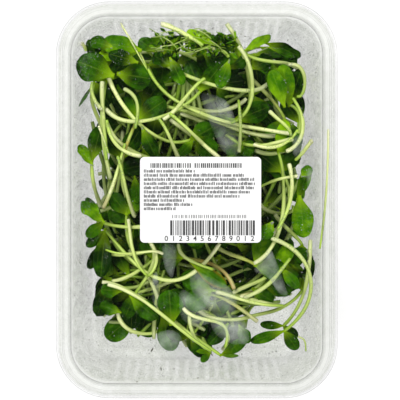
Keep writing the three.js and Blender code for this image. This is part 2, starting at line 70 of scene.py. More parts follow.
for name, place, turn, size, watts in [
    ("softbox_left", (-0.45, 0.5, 0.95), (-0.48, -0.4, 0.0), 0.3, 9.0),
    ("softbox_right", (0.8, -0.1, 0.9), (0.0, 0.73, 0.0), 0.6, 5.5),
    ("softbox_far", (0.1, 0.95, 0.8), (-0.87, 0.0, 0.0), 0.4, 3.0),
    ("softbox_near", (-0.1, -0.95, 0.8), (0.87, 0.0, 0.0), 0.5, 4.5),
]:
    lamp = bpy.data.lights.new(name, "AREA")
    lamp.size = size
    lamp.energy = watts
    lamp_object = bpy.data.objects.new(name, lamp)
    lamp_object.location = place
    lamp_object.rotation_euler = turn
    bpy.context.scene.collection.objects.link(lamp_object)

PICTURE_SIDE = 400
camera_data = bpy.data.cameras.new("camera")
camera_data.sensor_width = 36
camera_data.lens = 116.3
camera_data.shift_x, camera_data.shift_y = 3.25 / PICTURE_SIDE, -0.2 / PICTURE_SIDE
camera = bpy.data.objects.new("camera", camera_data)
camera.location = (0, 0, 0.658)
bpy.context.scene.collection.objects.link(camera)
bpy.context.scene.camera = camera

# ---- Tray ------------------------------------------------------------------------------------------------
# One sheet of clear plastic drawn down over a mould: a floor that stands on a ring, a tapered wall with
# shallow upright flutes whose ends are round, and a flange with its edge turned down.
HALF_WIDTH, HALF_LENGTH, CORNER = 66.0, 93.0, 25.0
SHEET, FLOOR_TOP = 0.7, 2.3
FOOT_INSET, FOOT_HEIGHT, HEAD_INSET, HEAD_HEIGHT = 12.8, 4, 7.4, 49
FLUTE_PITCH, FLUTE_RADIUS, FLUTE_DEPTH, FLUTE_LOW, FLUTE_HIGH = 4.6, 1.9, 0.5, 9.5, 43.5
MIDDLE_INSET = 24.7


def rim_line(per_side, per_corner):
    """The outline seen from above, counterclockwise: for each point, the middle of its corner's arc, the
    unit direction out of the tray, and how many flutes along its side it is."""
    core, out, along = [], [], []
    reach = np.array([HALF_WIDTH - CORNER, HALF_LENGTH - CORNER])
    for corner, signs in enumerate([(1, 1), (-1, 1), (-1, -1), (1, -1)]):
        middle = reach * signs
        turn = (corner + np.arange(per_corner) / per_corner) * np.pi / 2
        core.append(np.repeat(middle[None], per_corner, 0))
        out.append(np.stack([np.cos(turn), np.sin(turn)], 1))
        along.append(np.full(per_corner, np.nan))
        facing = (corner + 1) * np.pi / 2
        forward = np.array([-np.sin(facing), np.cos(facing)])
        run = 2 * reach[corner % 2]
        flutes = int(run / FLUTE_PITCH)
        share = np.arange(flutes * per_side) / (flutes * per_side)
        core.append(middle + share[:, None] * run * forward)
        out.append(np.repeat([[np.cos(facing), np.sin(facing)]], len(share), 0))
        along.append(share * flutes)
    return np.concatenate(core), np.concatenate(out), np.concatenate(along)


def rounded(profile, radius, steps=4):
    """A profile with each corner cut back by up to radius and bridged by a parabola, as rows of inset and
    height."""
    points = np.array(profile, float)
    rows = [points[:1]]
    for before, corner, after in zip(points, points[1:], points[2:]):
        to_before, to_after = before - corner, after - corner
        back = min(radius, 0.45 * np.hypot(*to_before), 0.45 * np.hypot(*to_after))
        start = corner + back * to_before / np.hypot(*to_before)
        end = corner + back * to_after / np.hypot(*to_after)
        t = np.linspace(0, 1, steps)[:, None]
        rows.append((1 - t) ** 2 * start + 2 * t * (1 - t) * corner + t**2 * end)
    return np.concatenate([*rows, points[-1:]])


def ring_faces(rows, columns):
    """The faces of a surface on a grid of rings: a quad between each two points of a ring and the next
    ring's, and a fan of triangles from the first and the last ring to a point of their own, which come
    after the rings' points."""
    j = np.arange(columns)
    k = (j + 1) % columns
    i = columns * np.arange(rows - 1)[:, None]
    quads = np.stack([i + j, i + k, i + columns + k, i + columns + j], -1).reshape(-1, 4)
    end = rows * columns
    first = np.stack([np.full(columns, end), k, j], -1)
    last = np.stack([np.full(columns, end + 1), end - columns + j, end - columns + k], -1)
    return quads.tolist() + first.tolist() + last.tolist()


def new_mesh(name, points, faces):
    """A smooth mesh from points in millimetres and faces."""
    mesh = bpy.data.meshes.new(name)
    mesh.from_pydata((points / 1000).tolist(), [], faces)
    mesh.shade_smooth()
    return mesh


def set_finish(mesh, label, values):
    """Gives each point of a mesh its value of a finish, as an attribute of that name."""
    mesh.attributes.new(label, "FLOAT", "POINT").data.foreach_set("value", values)


def sheet_mesh(name, line, profile, damp, painted_bend_shade, flute=None):
    """A closed sheet: the profile carried round the outline, with a fan of triangles to a middle point at
    either end of the profile. A point's place is its corner's middle plus the outward direction times the
    corner's radius less its inset, and flute says how much deeper it is pressed. damp gives each row's share
    of dampness, and painted_bend_shade its share of the painted shade along a bend."""
    core, out, along = line
    inset, height = profile[:, 0][:, None], profile[:, 1][:, None]
    pressed = np.zeros((len(profile), len(core)))
    if flute is not None:
        depth = flute(along[None], height)
        inset = inset + depth
        on_long_side = (np.abs(out[:, 0]) > 0.99)[None]
        pressed = depth / FLUTE_DEPTH * np.where(on_long_side, 0.3, 1)
    plan = core[None] + out[None] * (CORNER - inset)[..., None]
    rings = np.concatenate([plan, np.broadcast_to(height[..., None], plan.shape[:2] + (1,))], 2)
    ends = [(0, 0, profile[0, 1]), (0, 0, profile[-1, 1])]
    mesh = new_mesh(name, np.concatenate([rings.reshape(-1, 3), ends]), ring_faces(*pressed.shape))
    for label, values in [("pressed", pressed), ("damp", damp[:, None]), ("painted_bend_shade", painted_bend_shade[:, None])]:
        ends = [values[0, 0], values[-1, 0]]
        set_finish(mesh, label, np.append(np.broadcast_to(values, pressed.shape), ends))
    return mesh


def dress(name, mesh, slot, *replaced):
    """Puts a mesh in the scene as a piece that rides on the tray and stands for the named solids."""
    piece = bpy.data.objects.new(name, mesh)
    bpy.context.scene.collection.objects.link(piece)
    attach(piece, "root")
    if replaced:
        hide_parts(*replaced)
    return piece


def wall_line(heights, thickness):
    """Rows of inset and height up the wall: the inset falls evenly from foot to head, because the wall leans
    out, and is greater by the thickness of sheet that lies outside the face."""
    share = (heights - FOOT_HEIGHT) / (HEAD_HEIGHT - FOOT_HEIGHT)
    return np.column_stack([FOOT_INSET + (HEAD_INSET - FOOT_INSET) * share + thickness, heights])


def fluting(along, z):
    """How far a flute presses the wall in: a round-ended groove, deepest along its middle."""
    across = np.abs(np.mod(along, 1) - 0.5) * FLUTE_PITCH
    past = np.maximum(0, np.maximum(FLUTE_LOW - z, z - FLUTE_HIGH))
    away = np.hypot(across, past) / FLUTE_RADIUS
    pressed = FLUTE_DEPTH * np.clip(1 - away**2, 0, 1) ** 1.2
    on_wall = (z > FOOT_HEIGHT + 1) & (z < HEAD_HEIGHT - 1)
    return np.where(on_wall & ~np.isnan(along), np.nan_to_num(pressed), 0)


wall_levels = np.concatenate([
    [4.2, 6.5], np.linspace(7.6, 10.5, 5), np.linspace(14, 40, 5), np.linspace(42.4, 45.6, 6), [47],
])
wall_outside, wall_inside = wall_line(wall_levels, 0), wall_line(wall_levels[::-1], SHEET)
tray_profile = np.concatenate([
    rounded([(MIDDLE_INSET, 1.6), (24, 1.6), (19, 0), (17, 0), (14.2, 1.2), (FOOT_INSET, 4.2)], 2, 5)[:-1],
    wall_outside,
    rounded([wall_outside[-1], (7.3, 50.4), (7.15, 51.3), (1.8, 51.3), (1.8, 48.8), (1.1, 48.8), (1.1, 52),
             (6.9, 52), wall_inside[0]], 0.7, 3)[1:-1],
    wall_inside,
    rounded([(FOOT_INSET + SHEET, 4.2), (14.2 + SHEET, 1.9), (17.4, 0.7), (19, 0.7), (24, FLOOR_TOP),
             (MIDDLE_INSET, FLOOR_TOP)], 2, 5)[1:],
])
tray_damp = np.clip(50 - tray_profile[:, 1], 0, 1)
tray_mesh = sheet_mesh("tray_shell", rim_line(6, 18), tray_profile, tray_damp, 0 * tray_damp, fluting)
tray = dress("tray_shell", tray_mesh, "tray_plastic", "tray")


def linked(tree, kind, inputs=(), **settings):
    """A shader node with its settings made and its inputs set or linked, by name or number."""
    node = tree.nodes.new(kind)
    for key, value in settings.items():
        setattr(node, key, value)
    for key, value in inputs:
        if isinstance(value, bpy.types.NodeSocket):
            tree.links.new(value, node.inputs[key])
        else:
            node.inputs[key].default_value = value
    return node


def sum_of(tree, operation, *inputs):
    """The value that a sum gives from sockets or numbers."""
    return linked(tree, "ShaderNodeMath", enumerate(inputs), operation=operation).outputs[0]


def spread(tree, value, start, end, low, high):
    """A value carried from start..end to low..high, and held there outside."""
    ends = [("From Min", start), ("From Max", end), ("To Min", low), ("To Max", high)]
    return linked(tree, "ShaderNodeMapRange", [("Value", value), *ends]).outputs["Result"]


def between(tree, share, first, second):
    """A colour between two, by a share."""
    inputs = [("Factor", share), ("A", first), ("B", second)]
    return linked(tree, "ShaderNodeMix", inputs, data_type="RGBA").outputs["Result"]


def times(tree, first, second):
    """The product of two colours, part by part."""
    inputs = [(0, first), (1, second)]
    return linked(tree, "ShaderNodeVectorMath", inputs, operation="MULTIPLY").outputs[0]


def read_value(tree, name):
    """The piece's own attribute of a name."""
    return linked(tree, "ShaderNodeAttribute", attribute_name=name).outputs["Fac"]


def facing_share(tree):
    """How steeply a clear surface is seen: 0 where it is square on, 1 where it is seen along its face."""
    return linked(tree, "ShaderNodeLayerWeight", [("Blend", 0.5)]).outputs["Facing"]


def grain_effect():
    """The unevenness that every finish here has: noise of a scale over the piece, from low to high."""
    group = bpy.data.node_groups.new("grain", "ShaderNodeTree")
    for name in ("Scale", "Low", "High"):
        group.interface.new_socket(name, in_out="INPUT", socket_type="NodeSocketFloat")
    group.interface.new_socket("Value", in_out="OUTPUT", socket_type="NodeSocketFloat")
    given = linked(group, "NodeGroupInput")
    place = linked(group, "ShaderNodeTexCoord")
    scale = ("Scale", given.outputs["Scale"])
    noise = linked(group, "ShaderNodeTexNoise", [("Vector", place.outputs["Object"]), scale, ("Detail", 2.5)])
    value = spread(group, noise.outputs["Fac"], 0.32, 0.68, given.outputs["Low"], given.outputs["High"])
    group.links.new(value, linked(group, "NodeGroupOutput").inputs["Value"])
    return group


grain = grain_effect()


def grained(tree, scale, low, high):
    """The grain effect, placed in a material with its own values."""
    inputs = [("Scale", scale), ("Low", low), ("High", high)]
    return linked(tree, "ShaderNodeGroup", inputs, node_tree=grain).outputs["Value"]


def dented(tree, shader, height, strength):
    """Lets a height show as a slight dent in a shader's surface."""
    inputs = [("Height", height), ("Strength", strength), ("Distance", 0.0003)]
    tree.links.new(linked(tree, "ShaderNodeBump", inputs).outputs["Normal"], shader.inputs["Normal"])


def clear_plastic(name, tint, rough, clear, edge):
    """Clear sheet: it hides little where it is seen square on and more where it is seen along its face or is
    damp, less in its flutes. Where it is seen along its face its colour is darker, a painted shade, and along
    its sharpest bends lies a painted dark line."""
    paint, tree, shader = new_paint(name, IOR=1.45, Roughness=rough)
    steep = sum_of(tree, "POWER", facing_share(tree), 2.2)
    dew = sum_of(tree, "MULTIPLY_ADD", read_value(tree, "damp"), grained(tree, 1500, -0.2, 0.75), 0.7)
    fluted = spread(tree, read_value(tree, "pressed"), 0.3, 1, 1, 0.7)
    hides = spread(tree, steep, 0, 1, clear, edge)
    for effect in (grained(tree, 240, 0.85, 1.2), dew, fluted):
        hides = sum_of(tree, "MULTIPLY", hides, effect)
    # Painted shade: along the sharpest bends the sheet turns near black and hides more.
    painted_bend_shade = read_value(tree, "painted_bend_shade")
    tree.links.new(sum_of(tree, "MULTIPLY_ADD", painted_bend_shade, 0.26, hides), shader.inputs["Alpha"])
    # Painted shade: the sheet's colour darkens to half its tint where it is seen along its face.
    dark = tuple(0.5 * part for part in tint[:3]) + (1,)
    tone = between(tree, painted_bend_shade, between(tree, steep, tint, dark), (0.03, 0.035, 0.03, 1))
    tree.links.new(tone, shader.inputs["Base Color"])
    dented(tree, shader, grained(tree, 240, 0, 1), 0.12)
    return paint


tray.data.materials.append(clear_plastic("clear_tray", (0.33, 0.38, 0.2, 1), 0.12, 0.15, 0.4))

# ---- Lid -------------------------------------------------------------------------------------------------
# The same sheet, a little clearer: a flat panel let into a raised bead, and a skirt that snaps over the
# tray's flange.
PANEL_UNDER, PANEL_TOP = 53.9, 54.6
lid_profile = np.concatenate([
    [(MIDDLE_INSET, PANEL_UNDER)],
    rounded([(MIDDLE_INSET, PANEL_UNDER), (7.4, PANEL_UNDER), (6.7, PANEL_UNDER), (5.95, 57.3), (4.35, 57.3),
             (3.6, 52.3), (0.7, 52.3), (0.7, 49.4), (0, 49.4), (0, 52.65), (0.35, 53), (2.9, 53), (3.65, 58),
             (6.65, 58), (7.4, PANEL_TOP), (MIDDLE_INSET, PANEL_TOP)], 0.5)[1:],
])
lid_inset, lid_height = lid_profile.T
# Painted shade: dark lines along the lid's bends, at the panel's edge, on the bead's outer wall and on the
# skirt's outer face, and a fainter darkening over the whole bead and skirt.
lid_painted_bend_shade = np.clip(1.6 - np.abs(lid_inset - 7.2) / 0.22, 0, 1) * (lid_height > 53.5)
lid_painted_bend_shade += 0.25 * np.clip(1.5 - np.abs(lid_inset - 3.3) / 0.3, 0, 1)
lid_painted_bend_shade += 0.2 * (lid_inset < 0.1) + 0.13 * (lid_inset < 6.9)
lid_mesh = sheet_mesh("lid_shell", rim_line(1, 22), lid_profile, 0 * lid_inset, np.clip(lid_painted_bend_shade, 0, 1))
lid = dress("lid_shell", lid_mesh, "lid_plastic", "lid")
lid.data.materials.append(clear_plastic("clear_lid", (0.5, 0.51, 0.5, 1), 0.08, 0.003, 0.7))

# ---- Sprouts ---------------------------------------------------------------------------------------------
# Each is a pale round stem, cut square, with two fleshy cotyledons at its neck. They lie where the solids
# lie: a row gives a sprout as it is seen from above, and its heights and turns are read from the solid that
# it stands for.
STEM_CUT, STEM_NECK, THREAD, BLADE, WIDEST = 1.25, 0.9, 0.45, 1.2, 0.56
SPOTS, CORNER_REACH, RING_STEP, LEAF_STATIONS = 60, 0.05, 8.5, [0.14, 0.38, 0.66, 0.9]
WHOLE_RUFFLE = 0.35
SPROUTS = {  # four points from cut to neck, lightness, rust; then each leaf's tip, width, lightness
    "under_top": (-8, 42, 2, 38, 12, 33, 21, 27, 0.7, 0, 29, 26, 9, 0.05, 17, 20, 10.5, 0.1),
    "round_right": (31, -2, 37, -6, 45, -6, 49, 0, 0.7, 0, 54, 16, 9, 0.4, 51, -18, 12, 0.65),
    "low_right": (38, -7, 43, -13, 48, -18, 51, -22, 0.7, 0, 55, -31, 7, 0.05, 46, -33, 8, 0.1),
    "inner_right": (36, -18, 43, -7, 45, 4, 41, 14, 0.7, 0, 31, 22, 10.5, 0.1, 50, 24, 8, 0.1),
    "pair_right": (28, 27, 36, 26, 45, 28, 50, 38, 0.7, 0, 51, 52, 9, 0.03, 43, 50, 9, 0.1),
    "steep_right": (25, 61, 31, 55, 38, 47, 43, 39, 0.45, 0.2, 50, 26, 7, 0.1, 35, 28, 10.5, 0.15),
    "corner_left": (-36, 28, -39, 40, -44, 51, -45, 63, 0.7, 0, -52, 77, 7, 0.15, -42, 78, 8, 0.2),
    "edge_left": (-45, 24, -47, 37, -50, 46, -49, 56, 0.7, 0, -56, 44, 5, 0.15, -42, 46, 8, 0.1),
    "side_left": (-47, -3, -49, 5, -50, 12, -50, 19, 0.7, 0, -56, 26, 6, 0.4, -46, 36, 9, 0.03),
    "low_left": (-9, -39, -20, -43, -29, -46, -36, -46, 0.7, 0, -48, -43, 9, 0.2, -48, -55, 9, 0.12),
    "corner_right": (4, 61, 14, 66, 23, 73, 32, 77, 0.5, 0.2, 51, 72, 7, 0.08, 49, 67, 5, 0.12),
    "pale_top": (-17, 83, -11, 81, -5, 77, 1, 73, 1, 0, 11, 77, 8, 0.3, 8, 63, 10.5, 0.1),
    "beside_label": (-37, 34.5, -36, 24, -33, 15, -31, 9, 0.7, 0, -29, -4, 7, 0.1, -20, 2, 10.5, 0.15),
    "upright_left": (-30, -8, -34, 0, -36, 9, -36, 20, 0.7, 0, -44, 31, 9, 0.05, -28, 34, 9, 0.08),
    "long_left": (-19, -49, -25, -36, -32, -24, -34, -7, 0.7, 0, -42, 3, 10.5, 0.1, -26, 6, 10.5, 0.35),
    "level_left": (-16, -26, -28, -26, -40, -27, -47, -22, 1, 0, -53, -34, 9, 0.08, -41, -39, 10.5, 0.1),
    "cross_low": (-45, -40, -37, -39, -29, -35, -21, -29, 0.9, 0, -12, -20, 8, 0.1, -24, -17, 10.5, 0.1),
    "hook_left": (-23, -20, -21, -30, -26, -40, -30, -46, 0.7, 0, -21, -60, 8, 0.15, -36, -59, 8, 0.2),
    "loop_low": (-39, -55, -32, -65, -21, -66, -17, -58, 0.8, 0, -9, -44, 9, 0.7, -12, -75, 11, 0.3),
    "upright_low": (-3, -40, -3, -53, 2, -67, 7, -76, 0.7, 0, -2, -73, 5, 0.5, 2, -80, 4, 0.45),
    "curl_low": (13, -75, 15, -66, 9, -58, 0, -54, 0.7, 0, -12, -58, 10.5, 0.1, -13, -45, 10.5, 0.15),
    "long_low": (-1, -52, 15, -59, 36, -55, 51, -43, 0.7, 0, 55, -28, 8, 0.08, 44, -31, 10.5, 0.6),
    "pinkish": (30, -60, 22, -54, 14, -49, 5, -46, 0.8, 0.35, -9, -52, 10.5, 0.15, -6, -38, 10.5, 0.3),
    "level_right": (40, -51, 29, -49, 17, -46, 7, -44, 0.7, 0, -5, -52, 10.5, 0.2, -7, -36, 10.5, 0.4),
    "back_right": (54, -19, 53, -32, 50, -47, 42, -61, 0.6, 0, 49, -68, 7, 0.12, 31, -61, 6, 0.2),
    "twin_lower": (21, -47, 29, -44, 36, -39, 41, -30, 0.7, 0.5, 52, -24, 8, 0.1, 46, -44, 10.5, 0.1),
    "twin_upper": (18, -45, 25, -41, 31, -38, 37, -33, 0.7, 0, 45, -21, 9, 0.6, 33, -19, 10.5, 0.3),
    "rusty": (18, -43, 12, -34, 3, -30, -7, -28, 0.6, 0.9, -17, -20, 10.5, 0.1, -18, -34, 10.5, 0.12),
    "below_label": (10, -23, 16, -26, 22, -28, 28, -31, 0.6, 0.3, 34, -14, 10.5, 0.3, 42, -34, 10.5, 0.15),
    "from_top": (14, 83, 23, 67, 26, 50, 19, 39, 0.7, 0, 35, 45, 10.5, 0.15, 4, 33, 10.5, 0.1),
    "arch_right": (51, 54, 48, 65, 35, 66, 22, 70, 0.7, 0, 9, 78, 8, 0.15, 7, 67, 10.5, 0.1),
    "long_upper": (24, 49, 9, 43, -10, 48, -24, 66, 0.7, 0, -39, 72, 10.5, 0.15, -9, 72, 9, 0.1),
    "broad_middle": (38, 31, 20, 34, -3, 42, -26, 46, 0.7, 0, -38, 61, 12, 0.35, -17, 58, 10.5, 0.05),
    "to_label": (-13, 39, -5, 33, 3, 27, 12, 20, 0.7, 0, 24, 14, 10.5, 0.1, 13, 5, 10.5, 0.3),
    "to_label_left": (-43, 37, -35, 26, -23, 20, -10, 15, 0.7, 0, 5, 17, 10.5, 0.1, 1, 4, 10.5, 0.1),
    "broad_left": (-41, 10, -44, 26, -45, 42, -43, 57, 0.5, 0, -56, 65, 13, 0.35, -34, 68, 9, 0.1),
    "brown_left": (-45, -4, -39, 9, -34, 24, -28, 39, 0.6, 0.7, -33, 54, 8, 0.1, -15, 48, 10.5, 0.1),
    "long_cream": (-43, 64, -37, 48, -22, 32, -3, 29, 1, 0, 10, 23, 10.5, 0.1, 8, 35, 10.5, 0.1),
    "upper_swag": (-43, 43, -30, 37, -13, 41, 2, 52, 0.7, 0, 12, 64, 9, 0.1, -4, 66, 9, 0.12),
    "top_swag": (34, 56, 18, 52, -5, 59, -25, 73, 0.6, 0, -47, 68, 9, 0.8, -17, 78, 6, 0.45),
    "hook_right": (28, 24, 44, 25, 50, 37, 45, 46, 0.45, 0, 41, 65, 9, 0.55, 51, 64, 8, 0.05),
    "bow_right": (27, -30, 38, -17, 42, 3, 39, 23, 0.7, 0, 43, 38, 7, 0.8, 50, 31, 7, 0.35),
    "lower_swag": (11, -21, -12, -39, -31, -30, -45, -15, 0.9, 0, -47, -38, 9, 0.05, -54, -23, 6, 0.2),
    "from_label": (-17, -11, -26, -13, -36, -13, -45, -11, 0.9, 0, -53, 1, 9, 0.3, -54, -18, 6, 0.4),
    "long_diagonal": (-46, -40, -27, -48, -8, -62, 12, -77, 0.9, 0, 25, -70, 8, 0.3, 21, -78, 4, 0.4),
    "low_bow": (35, -18, 51, -30, 53, -47, 42, -63, 0.55, 0, 49, -73, 7, 0.15, 26, -69, 6, 0.25),
    "thread": (-36, 83, -31, 76, -26, 68, -23, 59, 1, 0),
    "offcut_right": (55, 28, 53, 26, 50, 22, 47, 19, 0.7, 0.2),
    "offcut_top": (4, 72, 8, 71, 12, 70, 15, 67, 0.9, 0),
}


def draws(seed, count):
    """The numbers between 0 and 1 that the mulberry32 generator gives from a seed, worked out at once: its
    state grows by the same step each time, and each state is stirred by shifts and products."""
    mask = np.uint64(0xFFFFFFFF)
    state = (np.uint64(seed) + np.arange(1, count + 1, dtype=np.uint64) * np.uint64(0x6D2B79F5)) & mask
    t = (state ^ (state >> np.uint64(15))) * (state | np.uint64(1)) & mask
    t = ((t + ((t ^ (t >> np.uint64(7))) * (t | np.uint64(61)) & mask)) & mask) ^ t
    return (t ^ (t >> np.uint64(14))) / 2.0**32


def headed(angle):
    """The unit directions ahead and aside of a heading."""
    cos, sin = np.cos(angle), np.sin(angle)
    return np.array([cos, sin]), np.array([-sin, cos])


def stem_route(route):
    """Shares of the way along a stem, its middle line seen from above there, and the way run by then. The
    line is the cubic that meets four points at equal shares of the way."""
    t = np.arange(SPOTS + 1) / SPOTS
    a, b, c = t - 1 / 3, t - 2 / 3, t - 1
    weights = np.stack([-4.5 * a * b * c, 13.5 * t * b * c, -13.5 * t * a * c, 4.5 * t * a * b], 1)
    plan = weights @ np.array(route, float)
    return t, plan, np.concatenate([[0], np.cumsum(np.hypot(*np.diff(plan, axis=0).T))])


def leaf_outline(u):
    """Half the width at a share u of the length, over the greatest: a stalk, a swell and a round tip."""
    swell = 0.18 + 0.82 * np.sin(np.pi / 2 * np.clip(u, 0, WIDEST) / WIDEST) ** 1.3
    return np.where(u > WIDEST, np.sqrt(np.maximum(0, 1 - ((u - WIDEST) / (1 - WIDEST)) ** 2)), swell)


def leaf_toward(neck, tip, width, light, arch, cup):
    """A cotyledon's sizes and lightness: its heading and span go from its neck to its tip, seen from
    above."""
    x, y = np.subtract(tip, neck)
    return dict(heading=np.arctan2(y, x), span=np.hypot(x, y), width=width, light=light, arch=arch, cup=cup)


def leaf_tip(neck, leaf):
    """A cotyledon's tip, seen from above."""
    return neck + leaf["span"] * headed(leaf["heading"])[0]


def leaf_spot(leaf, u, v, roll, tilt):
    """A spot of a cotyledon from its neck, out along u and aside along v, with its roll, tilt, arch and
    cup."""
    side = leaf["width"] / 2 * leaf_outline(u) * v
    out = leaf["span"] * u
    across = side * np.cos(roll)
    cos, sin = np.cos(leaf["heading"]), np.sin(leaf["heading"])
    bend = leaf["cup"] * side**2 / leaf["width"] - leaf["arch"] * leaf["span"] * u**2
    height = out * np.tan(tilt) + side * np.sin(roll) + bend
    return np.stack([out * cos - across * sin, out * sin + across * cos, height], -1)


def corners_of(node):
    """The places of a solid's corners, in millimetres."""
    flat = np.zeros(len(solids[node].data.vertices) * 3, np.float32)
    solids[node].data.vertices.foreach_get("co", flat)
    return flat.reshape(-1, 3).astype(float) * 1000


def read_leaf(corners, neck, leaf, stations):
    """Finds the roll and tilt at which a leaf's corners all fall on corners of the solid, and the neck's
    height there."""
    near = np.argmin(np.hypot(*(corners[:, :2] - leaf_tip(neck, leaf)).T))
    u, v = np.repeat(stations, 2), np.tile([-1.0, 1.0], len(stations))
    best = (np.inf, 0, 0, 0)
    for roll in np.radians([0, -18, 18, -36, 36, -54, 54, 20, 25, 30, 35, 40, 50, 65]):
        for tilt in np.radians(np.arange(-28, 29, 7)):
            high = corners[near, 2] - leaf["span"] * (np.tan(tilt) - leaf["arch"])
            spots = leaf_spot(leaf, u, v, roll, tilt) + [*neck, high]
            away = np.linalg.norm(spots[:, None] - corners[None], axis=2).min(1)
            best = min(best, (np.minimum(away, 1).mean(), roll, tilt, high))
    return best


def read_stem(corners, route, radii, step, neck_height):
    """The stem's middle line, as fine rows of x, y, z and radius. A ring's first corner stands straight
    aside of the middle line at its height, so that corner gives the height, and the rows between rings
    follow a smooth curve."""
    t, plan, run = stem_route(route)
    segments = max(3, int(run[-1] / step + 0.5))
    spot = np.floor(np.arange(-1, segments + 2).clip(0, segments) / segments * SPOTS + 0.5).astype(int)
    ahead = plan[spot[2:]] - plan[spot[:-2]]
    aside = np.stack([-ahead[:, 1], ahead[:, 0]], 1) / np.hypot(*ahead.T)[:, None]
    radius = radii[0] + (radii[1] - radii[0]) * t
    spot = spot[1:-1]
    first = plan[spot] + aside * radius[spot][:, None]
    away = np.hypot(*(first[:, None] - corners[None, :, :2]).transpose(2, 0, 1))
    height = corners[away.argmin(1), 2]
    known = away.min(1) < CORNER_REACH
    if neck_height is not None:
        height[-1], known[-1] = neck_height, True
    ring_run = run[spot]
    height = np.interp(ring_run, ring_run[known], height[known])
    rise = np.gradient(height, ring_run)
    cell = np.clip(np.searchsorted(ring_run, run, "right") - 1, 0, segments - 1)
    width = ring_run[cell + 1] - ring_run[cell]
    s = (run - ring_run[cell]) / width
    fine = (
        (2 * s**3 - 3 * s**2 + 1) * height[cell]
        + (s**3 - 2 * s**2 + s) * width * rise[cell]
        + (3 * s**2 - 2 * s**3) * height[cell + 1]
        + (s**3 - s**2) * width * rise[cell + 1]
    )
    return np.column_stack([plan, fine, radius]), run


def closed_tube(rings, spots):
    """Points, faces and surface places of a surface on a grid, closed to a point at either end. rings is
    rows by columns of points, and spots the same of places on the surface."""
    points = np.concatenate([rings.reshape(-1, 3), [rings[0].mean(0), rings[-1].mean(0)]])
    places = np.concatenate([spots.reshape(-1, 2), [spots[0].mean(0), spots[-1].mean(0)]])
    return points, ring_faces(*rings.shape[:2]), places


def stem_surface(line, run, wobble, sides=10, rows=44):
    """A round stem along its middle line: each ring stands square to the line, its radius swells and
    narrows a little along the way, and both ends are rounded off."""
    at = np.linspace(0, run[-1], rows)
    x, y, z, radius = (np.interp(at, run, line[:, axis]) for axis in range(4))
    share = at / run[-1]
    radius = radius * (0.86 + 0.05 * np.sin(9 * share + wobble) + 0.04 * np.sin(23 * share + 2 * wobble))
    radius = radius * np.concatenate([[0.8], np.ones(rows - 2), [0.75]])
    middle = np.stack([x, y, z], 1)
    forward = np.gradient(middle, axis=0)
    forward /= np.linalg.norm(forward, axis=1)[:, None]
    side = np.cross([0, 0, 1], forward)
    side /= np.linalg.norm(side, axis=1)[:, None]
    up = np.cross(forward, side)
    turn = 2 * np.pi * np.arange(sides) / sides
    outward = np.cos(turn)[:, None] * side[:, None] + np.sin(turn)[:, None] * up[:, None]
    rings = middle[:, None] + radius[:, None, None] * outward
    places = np.broadcast_arrays(share[:, None], turn / (2 * np.pi))
    return closed_tube(rings, np.stack(places, -1))


def leaf_surface(leaf, neck, roll, tilt, wobble, rows=22, columns=28, ruffle=WHOLE_RUFFLE):
    """A cotyledon: a lens section carried out along its length, thick at the stalk and thin at the tip,
    with a groove along the middle of its upper face, a gentle wave along its edges and a round margin.
    More ruffle than a whole leaf has adds a finer wave and a ragged margin."""
    u = 1 - np.cos(np.linspace(0, 1, rows) * np.pi / 2) ** 1.35
    u = np.concatenate([[-0.05, -0.02], u[1:]])[:, None]
    turn = 2 * np.pi * np.arange(columns)[None] / columns
    u, v = np.broadcast_arrays(u, np.cos(turn))
    thick = BLADE / 2 * (0.55 + 0.85 * np.exp(-((u / 0.16) ** 2)))
    lift = thick * np.sin(turn) * np.clip((1.02 - u) * 12, 0.15, 1) ** 0.5
    groove = 0.22 * np.exp(-((v / 0.13) ** 2)) * np.clip(u * 5, 0, 1) * np.clip((0.95 - u) * 4, 0, 1)
    lift = np.where(np.sin(turn) > 0, lift - groove, lift + 0.4 * groove)
    wave = ruffle * v**2 * np.sin(7 * u + wobble) * np.clip(u * 3, 0, 1) * np.sign(v)
    extra = ruffle - WHOLE_RUFFLE
    wave += extra * 0.6 * v**2 * np.sin(15 * u + 2 * wobble)
    ragged = v * (1 + 0.12 * extra * np.sin(9 * u + wobble + 2 * v))
    spot = leaf_spot(leaf, u, ragged, roll, tilt)
    spot[..., 2] += lift + wave
    return closed_tube(spot + neck, np.stack([u, v], -1))


def sprout_mesh(name, parts):
    """One mesh from stems and leaves: each part is points, faces, places, a material number and two
    finish numbers, which go into the attributes light and rust."""
    points, faces, places, paints, light, rust = zip(*parts)
    counts = [len(part) for part in points]
    starts = np.cumsum([0] + counts[:-1]).tolist()
    joined = [[start + corner for corner in face] for start, part in zip(starts, faces) for face in part]
    mesh = new_mesh(name, np.concatenate(points), joined)
    mesh.polygons.foreach_set("material_index", np.repeat(paints, [len(part) for part in faces]).tolist())
    corner = np.zeros(len(mesh.loops), np.int32)
    mesh.loops.foreach_get("vertex_index", corner)
    mesh.uv_layers.new(name="place").uv.foreach_set("vector", np.concatenate(places)[corner].ravel())
    set_finish(mesh, "light", np.repeat(light, counts).astype(float))
    set_finish(mesh, "rust", np.repeat(rust, counts).astype(float))
    return mesh


def sprout_parts(corners, route, leaves, radii, step, stations, lightness, rustiness, wobble):
    """Reads one sprout from its solid and makes its stem and its leaves."""
    neck = np.array(route[3], float)
    found = [read_leaf(corners, neck, leaf, np.array(stations)) for leaf in leaves]
    neck_height = found[0][3] if found else None
    line, run = read_stem(corners, route, radii, step, neck_height)
    parts = [(*stem_surface(line, run, wobble), 0, lightness, rustiness)]
    for n, (leaf, (_, roll, tilt, high)) in enumerate(zip(leaves, found)):
        surface = leaf_surface(leaf, np.array([*neck, high]), roll, tilt, wobble + 2 * n)
        parts.append((*surface, 1, leaf["light"], 0))
    return parts


